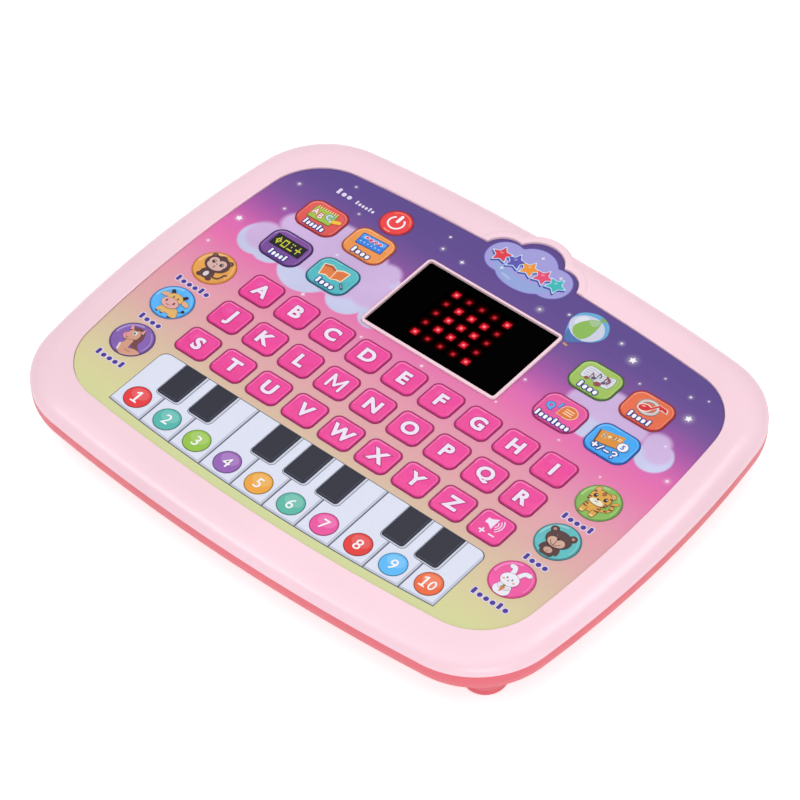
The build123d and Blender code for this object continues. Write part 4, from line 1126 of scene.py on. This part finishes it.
def plaque():
    """The cloud-shaped plaque at the back, with five plain stars."""
    art = Print("cloud_plaque", "housing", 0, 76.0, FACE_Z)
    lobes = [(-11.2, 0.4, 7.8, 7.8), (11.2, 0.4, 7.8, 7.8), (0, 2.4, 9.8, 9.6), (0, -5.2, 10.6, 5.4)]
    art.fill(0, (116, 112, 196), lobed((0, 0), [(x, y, rx + 0.3, ry + 0.3) for x, y, rx, ry in lobes]))
    art.fill(1, (163, 158, 220), lobed((0, 0), lobes))
    art.fill(2, (148, 166, 220), lobed((0, -4), [(0, -5.3, 10, 4.8), (-8, -3.4, 5, 3.6), (8, -3.4, 5, 3.6)]))
    art.fill(3, (163, 158, 220), ellipse(0, -0.4, 12.5, 4.4))
    art.fill(3, (172, 186, 232), ellipse(-4.6, -7.4, 2.6, 0.6, -10))
    for number, colour in enumerate(PLAQUE_STARS):
        x = (number - 2) * 6.5
        y = 0.9 - 0.12 * (number - 2) ** 2
        tilt = 90 - (number - 2) * 7
        art.fill(4, (62, 82, 168), rounded_star(x + 0.1, y - 0.8, 4.9, tilt))
        art.fill(5, (198, 224, 248), rounded_star(x, y, 4.9, tilt))
        art.fill(6, colour, rounded_star(x, y, 4.1, tilt))
        art.fill(7, mixed(colour, WHITE, 0.35), ellipse(x - 0.6, y + 0.8, 0.75, 0.5, 30, 16))
    for x, y in ((0.4, 8.6), (-8.6, -5.0), (12.2, 4.6)):
        art.fill(4, WHITE, star(x, y, 1.1, 0.28, 4))
    art.done()


def rounded_star(x, y, size, tilt):
    """A five-pointed star with soft points."""
    loop = star(0, 0, size, size * 0.5, 5, tilt)
    soft = []
    count = len(loop)
    for index, (px, py) in enumerate(loop):
        ax, ay = loop[index - 1]
        bx, by = loop[(index + 1) % count]
        share = 0.28 if index % 2 == 0 else 0.12
        start = (px + (ax - px) * share, py + (ay - py) * share)
        end = (px + (bx - px) * share, py + (by - py) * share)
        for k in range(5):
            t = k / 4
            soft.append(tuple((1 - t) ** 2 * s + 2 * t * (1 - t) * p + t * t * e for s, p, e in zip(start, (px, py), end)))
    return [(x + px, y + py) for px, py in soft]


def balloon():
    """A striped balloon with its basket."""
    art = Print("balloon_print", "housing", 35.4, 67.6, FACE_Z)
    envelope = curve([(-7.4, -0.1), (-6.2, 4.0), (-2.4, 6.6), (1.6, 7.1), (5.8, 5.2), (8.2, 1.4), (8.2, -2.1), (6.1, -5.4),
                      (3.0, -7.4), (-0.1, -10.2), (-2.4, -10.7), (-4.1, -8.6), (-6.0, -4.8)], True)
    art.fill(0, (84, 110, 176), grown(envelope, 0.2))
    art.fill(1, (104, 172, 216), envelope)
    art.fill(2, (206, 208, 228), curve([(-7.2, -0.6), (-5.8, 2.6), (-2.8, 4.6), (1.1, 5.2), (4.8, 3.6), (7.2, 0.4), (7.3, -2.6),
                                        (5.4, -5.6), (2.6, -7.2), (-0.6, -7.2), (-3.8, -6.2), (-6.0, -3.8)], True))
    art.fill(3, (222, 224, 238), ellipse(-3.6, 1.0, 1.9, 3.0, -28))
    art.fill(3.5, (140, 186, 88), curve([(2.6, 5.0), (3.6, 1.0), (3.5, -3.4), (2.2, -6.4), (0.2, -7.0), (-2.4, -6.0), (-4.2, -3.6),
                                         (-3.8, -0.6), (-1.6, 2.8), (1.0, 4.6)], True))
    art.fill(4.5, (166, 196, 146), curve([(2.4, 4.7), (2.8, 2.0), (1.0, 1.0), (-1.2, 2.4), (0.8, 4.2)], True))
    art.fill(2, (132, 168, 84), curve([(1.4, 6.6), (3.0, 6.8), (4.2, 6.0), (3.0, 5.4), (1.8, 5.6)], True))
    art.fill(3, (76, 118, 178), curve([(-5.2, -5.2), (-2.4, -6.7), (0.6, -7.4), (2.6, -7.4), (0.0, -10.2), (-2.4, -10.7),
                                       (-4.0, -8.7)], True))
    art.fill(1, (196, 150, 130), rounded(-1.0, -12.2, 2.2, 1.2, 0.3, -12))
    art.fill(2, (150, 104, 94), rounded(-1.0, -11.8, 2.2, 0.35, 0.1, -12))
    art.done()


def face_stars():
    """Small bright stars on the face and two rows of marks beside the power key."""
    art = Print("face_stars", "housing", 0, 0, FACE_Z)
    for x, y, size in ((-103, 28.4, 1.5), (58.7, 64.6, 1.7), (92, 54.5, 1.6)):
        art.fill(0, WHITE, rounded_star(x, y, size, 90))
    for x, y, size in ((-22, 63.8, 1.2), (-34, 71.4, 0.8), (-57.2, 13.4, 1.0), (0.7, 13.5, 0.9), (104.3, 25.9, 0.9)):
        art.fill(0, WHITE, star(x, y, size, size * 0.25, 4))
    for x, y, radius in GLOWS:
        art.fill(1, WHITE, ellipse(x, y, min(radius * 0.2, 0.42), points=12))
    art.done()
    lilac, shadow = (226, 214, 240), (70, 52, 128)
    for name, x, y, count, pitch, size in (("display_label", -80.3, 63.7, 3, 2.7, 3.0), ("display_label_small", -69.6, 63.2, 6, 1.6, 2.1)):
        label = Print(name, "housing", x, y, FACE_Z)
        label_marks(label, 0, count, 0, count * pitch, size, lilac, shadow, 0.15)
        label.done()


# ---------------------------------------------------------------- CAD nodes
def assign(node, material):
    data = nodes[node].data
    data.materials.clear()
    data.materials.append(material)
    data.polygons.foreach_set("material_index", [0] * len(data.polygons))


def dress_cad():
    shell = moulded_plastic("pale_pink_shell", PALE_PINK, coat=0.35)
    base = moulded_plastic("coral_shell", CORAL)
    steel = metal("plated_steel", (198, 198, 202))
    black = moulded_plastic("component_black", (34, 34, 38), 0.45, 0.0)
    board = circuit_board("board_green", (22, 96, 52))
    finishes = {
        "top_housing": shell,
        "bottom_housing": base,
        "battery_cover": moulded_plastic("coral_cover", scaled(CORAL, 0.98), 0.4, 0.05),
        "face_film": printed_film(),
        "spacer_sheet": moulded_plastic("white_foam", (236, 236, 232), 0.85, 0.0, 1200, 0.2),
        "circuit_membrane": moulded_plastic("circuit_film", (206, 212, 206), 0.25, 0.3),
        "display_window": smoked_pane(),
        "display_dots": lamp_material(),
        "display_board": moulded_plastic("board_black", (12, 12, 14), 0.6, 0.0),
        "main_board": board,
        "board_parts": black,
        "speaker": steel,
        "battery_cells": moulded_plastic("cell_jacket", (58, 64, 78), 0.3, 0.4),
        "battery_contacts": steel,
        "battery_cover_screw": steel,
        "housing_screws": steel,
        "small_screws": steel,
        "wiring": moulded_plastic("wire_red", (196, 30, 28), 0.5, 0.0),
    }
    for node, material in finishes.items():
        assign(node, material)


# ---------------------------------------------------------------- studio
CAMERA_TARGET = Vector((5.6, -4.4, 24.4)) * MM
CAMERA_DISTANCE = 1.3024
CAMERA_AZIMUTH = -48.17  # degrees from +X
CAMERA_ELEVATION = 47.36
CAMERA_ROLL = -1.80
CAMERA_LENS = 161.6


def add_camera():
    azimuth, elevation = math.radians(CAMERA_AZIMUTH), math.radians(CAMERA_ELEVATION)
    backward = Vector((math.cos(azimuth) * math.cos(elevation), math.sin(azimuth) * math.cos(elevation), math.sin(elevation)))
    level = Vector((0, 0, 1)).cross(backward).normalized()
    upward = backward.cross(level)
    roll = math.radians(CAMERA_ROLL)
    right = level * math.cos(roll) + upward * math.sin(roll)
    up = backward.cross(right)
    data = bpy.data.cameras.new("camera")
    data.lens = CAMERA_LENS
    data.sensor_width = 36
    camera = bpy.data.objects.new("camera", data)
    rotation = Matrix((right, up, backward)).transposed().to_4x4()
    camera.matrix_world = Matrix.Translation(CAMERA_TARGET + backward * CAMERA_DISTANCE) @ rotation
    bpy.context.scene.collection.objects.link(camera)
    bpy.context.scene.camera = camera


def add_area_light(name, location, aim, size, power, colour=(1, 1, 1)):
    data = bpy.data.lights.new(name, "AREA")
    data.shape = "RECTANGLE"
    data.size, data.size_y = size
    data.energy = power
    data.color = colour
    light = bpy.data.objects.new(name, data)
    light.location = location
    direction = Vector(aim) - Vector(location)
    light.rotation_euler = direction.to_track_quat("-Z", "Y").to_euler()
    bpy.context.scene.collection.objects.link(light)
    return light


def floor_paper():
    """White paper, brighter to the camera than to the object, and clear from below so that the underside shows."""
    graph = Graph("floor_paper")
    paper = graph.ramp(graph.noise(6, 2), [(0.2, (251, 251, 251)), (0.8, (253, 253, 253))])
    seen = graph.add("LightPath").outputs["Is Camera Ray"]
    shader = graph.add("BsdfPrincipled", {
        "Base Color": paper, "Roughness": 0.9, "Specular IOR Level": 0.1, "Emission Color": paper,
        "Emission Strength": graph.math("ADD", 0.12, graph.math("MULTIPLY", seen, 0.42)),
    })
    clear = graph.add("BsdfTransparent")
    below = graph.add("NewGeometry").outputs["Backfacing"]
    blend = graph.add("MixShader", {0: below, 1: shader.outputs[0], 2: clear.outputs[0]})
    graph.add("OutputMaterial", {"Surface": blend.outputs[0]})
    return graph.material


def add_studio():
    world = bpy.data.worlds.new("studio")
    world.use_nodes = True
    background = world.node_tree.nodes["Background"]
    background.inputs["Color"].default_value = (1.0, 1.0, 1.0, 1)
    background.inputs["Strength"].default_value = 0.63
    bpy.context.scene.world = world
    add_area_light("overhead", (-0.3, 0.1, 1.5), (0, 0, 0), (1.6, 1.6), 9)
    add_area_light("front_right", (1.2, -1.1, 0.9), (0, 0, 0), (1.0, 0.6), 7)
    for name, location in (("right_sheen", (0.2, 0.8, 1.36)), ("front_sheen", (-0.75, -0.6, 1.3))):
        sheen = add_area_light(name, location, (0, 0, 0), (0.6, 0.3), 3)
        sheen.visible_diffuse = False
    bpy.context.scene.view_settings.view_transform = "Standard"
    bpy.context.scene.cycles.use_denoising = True
    mesh = bpy.data.meshes.new("floor")
    reach = 3.0
    mesh.from_pydata([(-reach, -reach, 0), (reach, -reach, 0), (reach, reach, 0), (-reach, reach, 0)], [], [(0, 1, 2, 3)])
    mesh.materials.append(floor_paper())
    floor = bpy.data.objects.new("floor", mesh)
    floor.location.z = -0.0002
    bpy.context.scene.collection.objects.link(floor)


dress_cad()
letter_keys()
mode_keys()
power_key()
animal_keys()
piano()
plaque()
balloon()
face_stars()
add_studio()
add_camera()
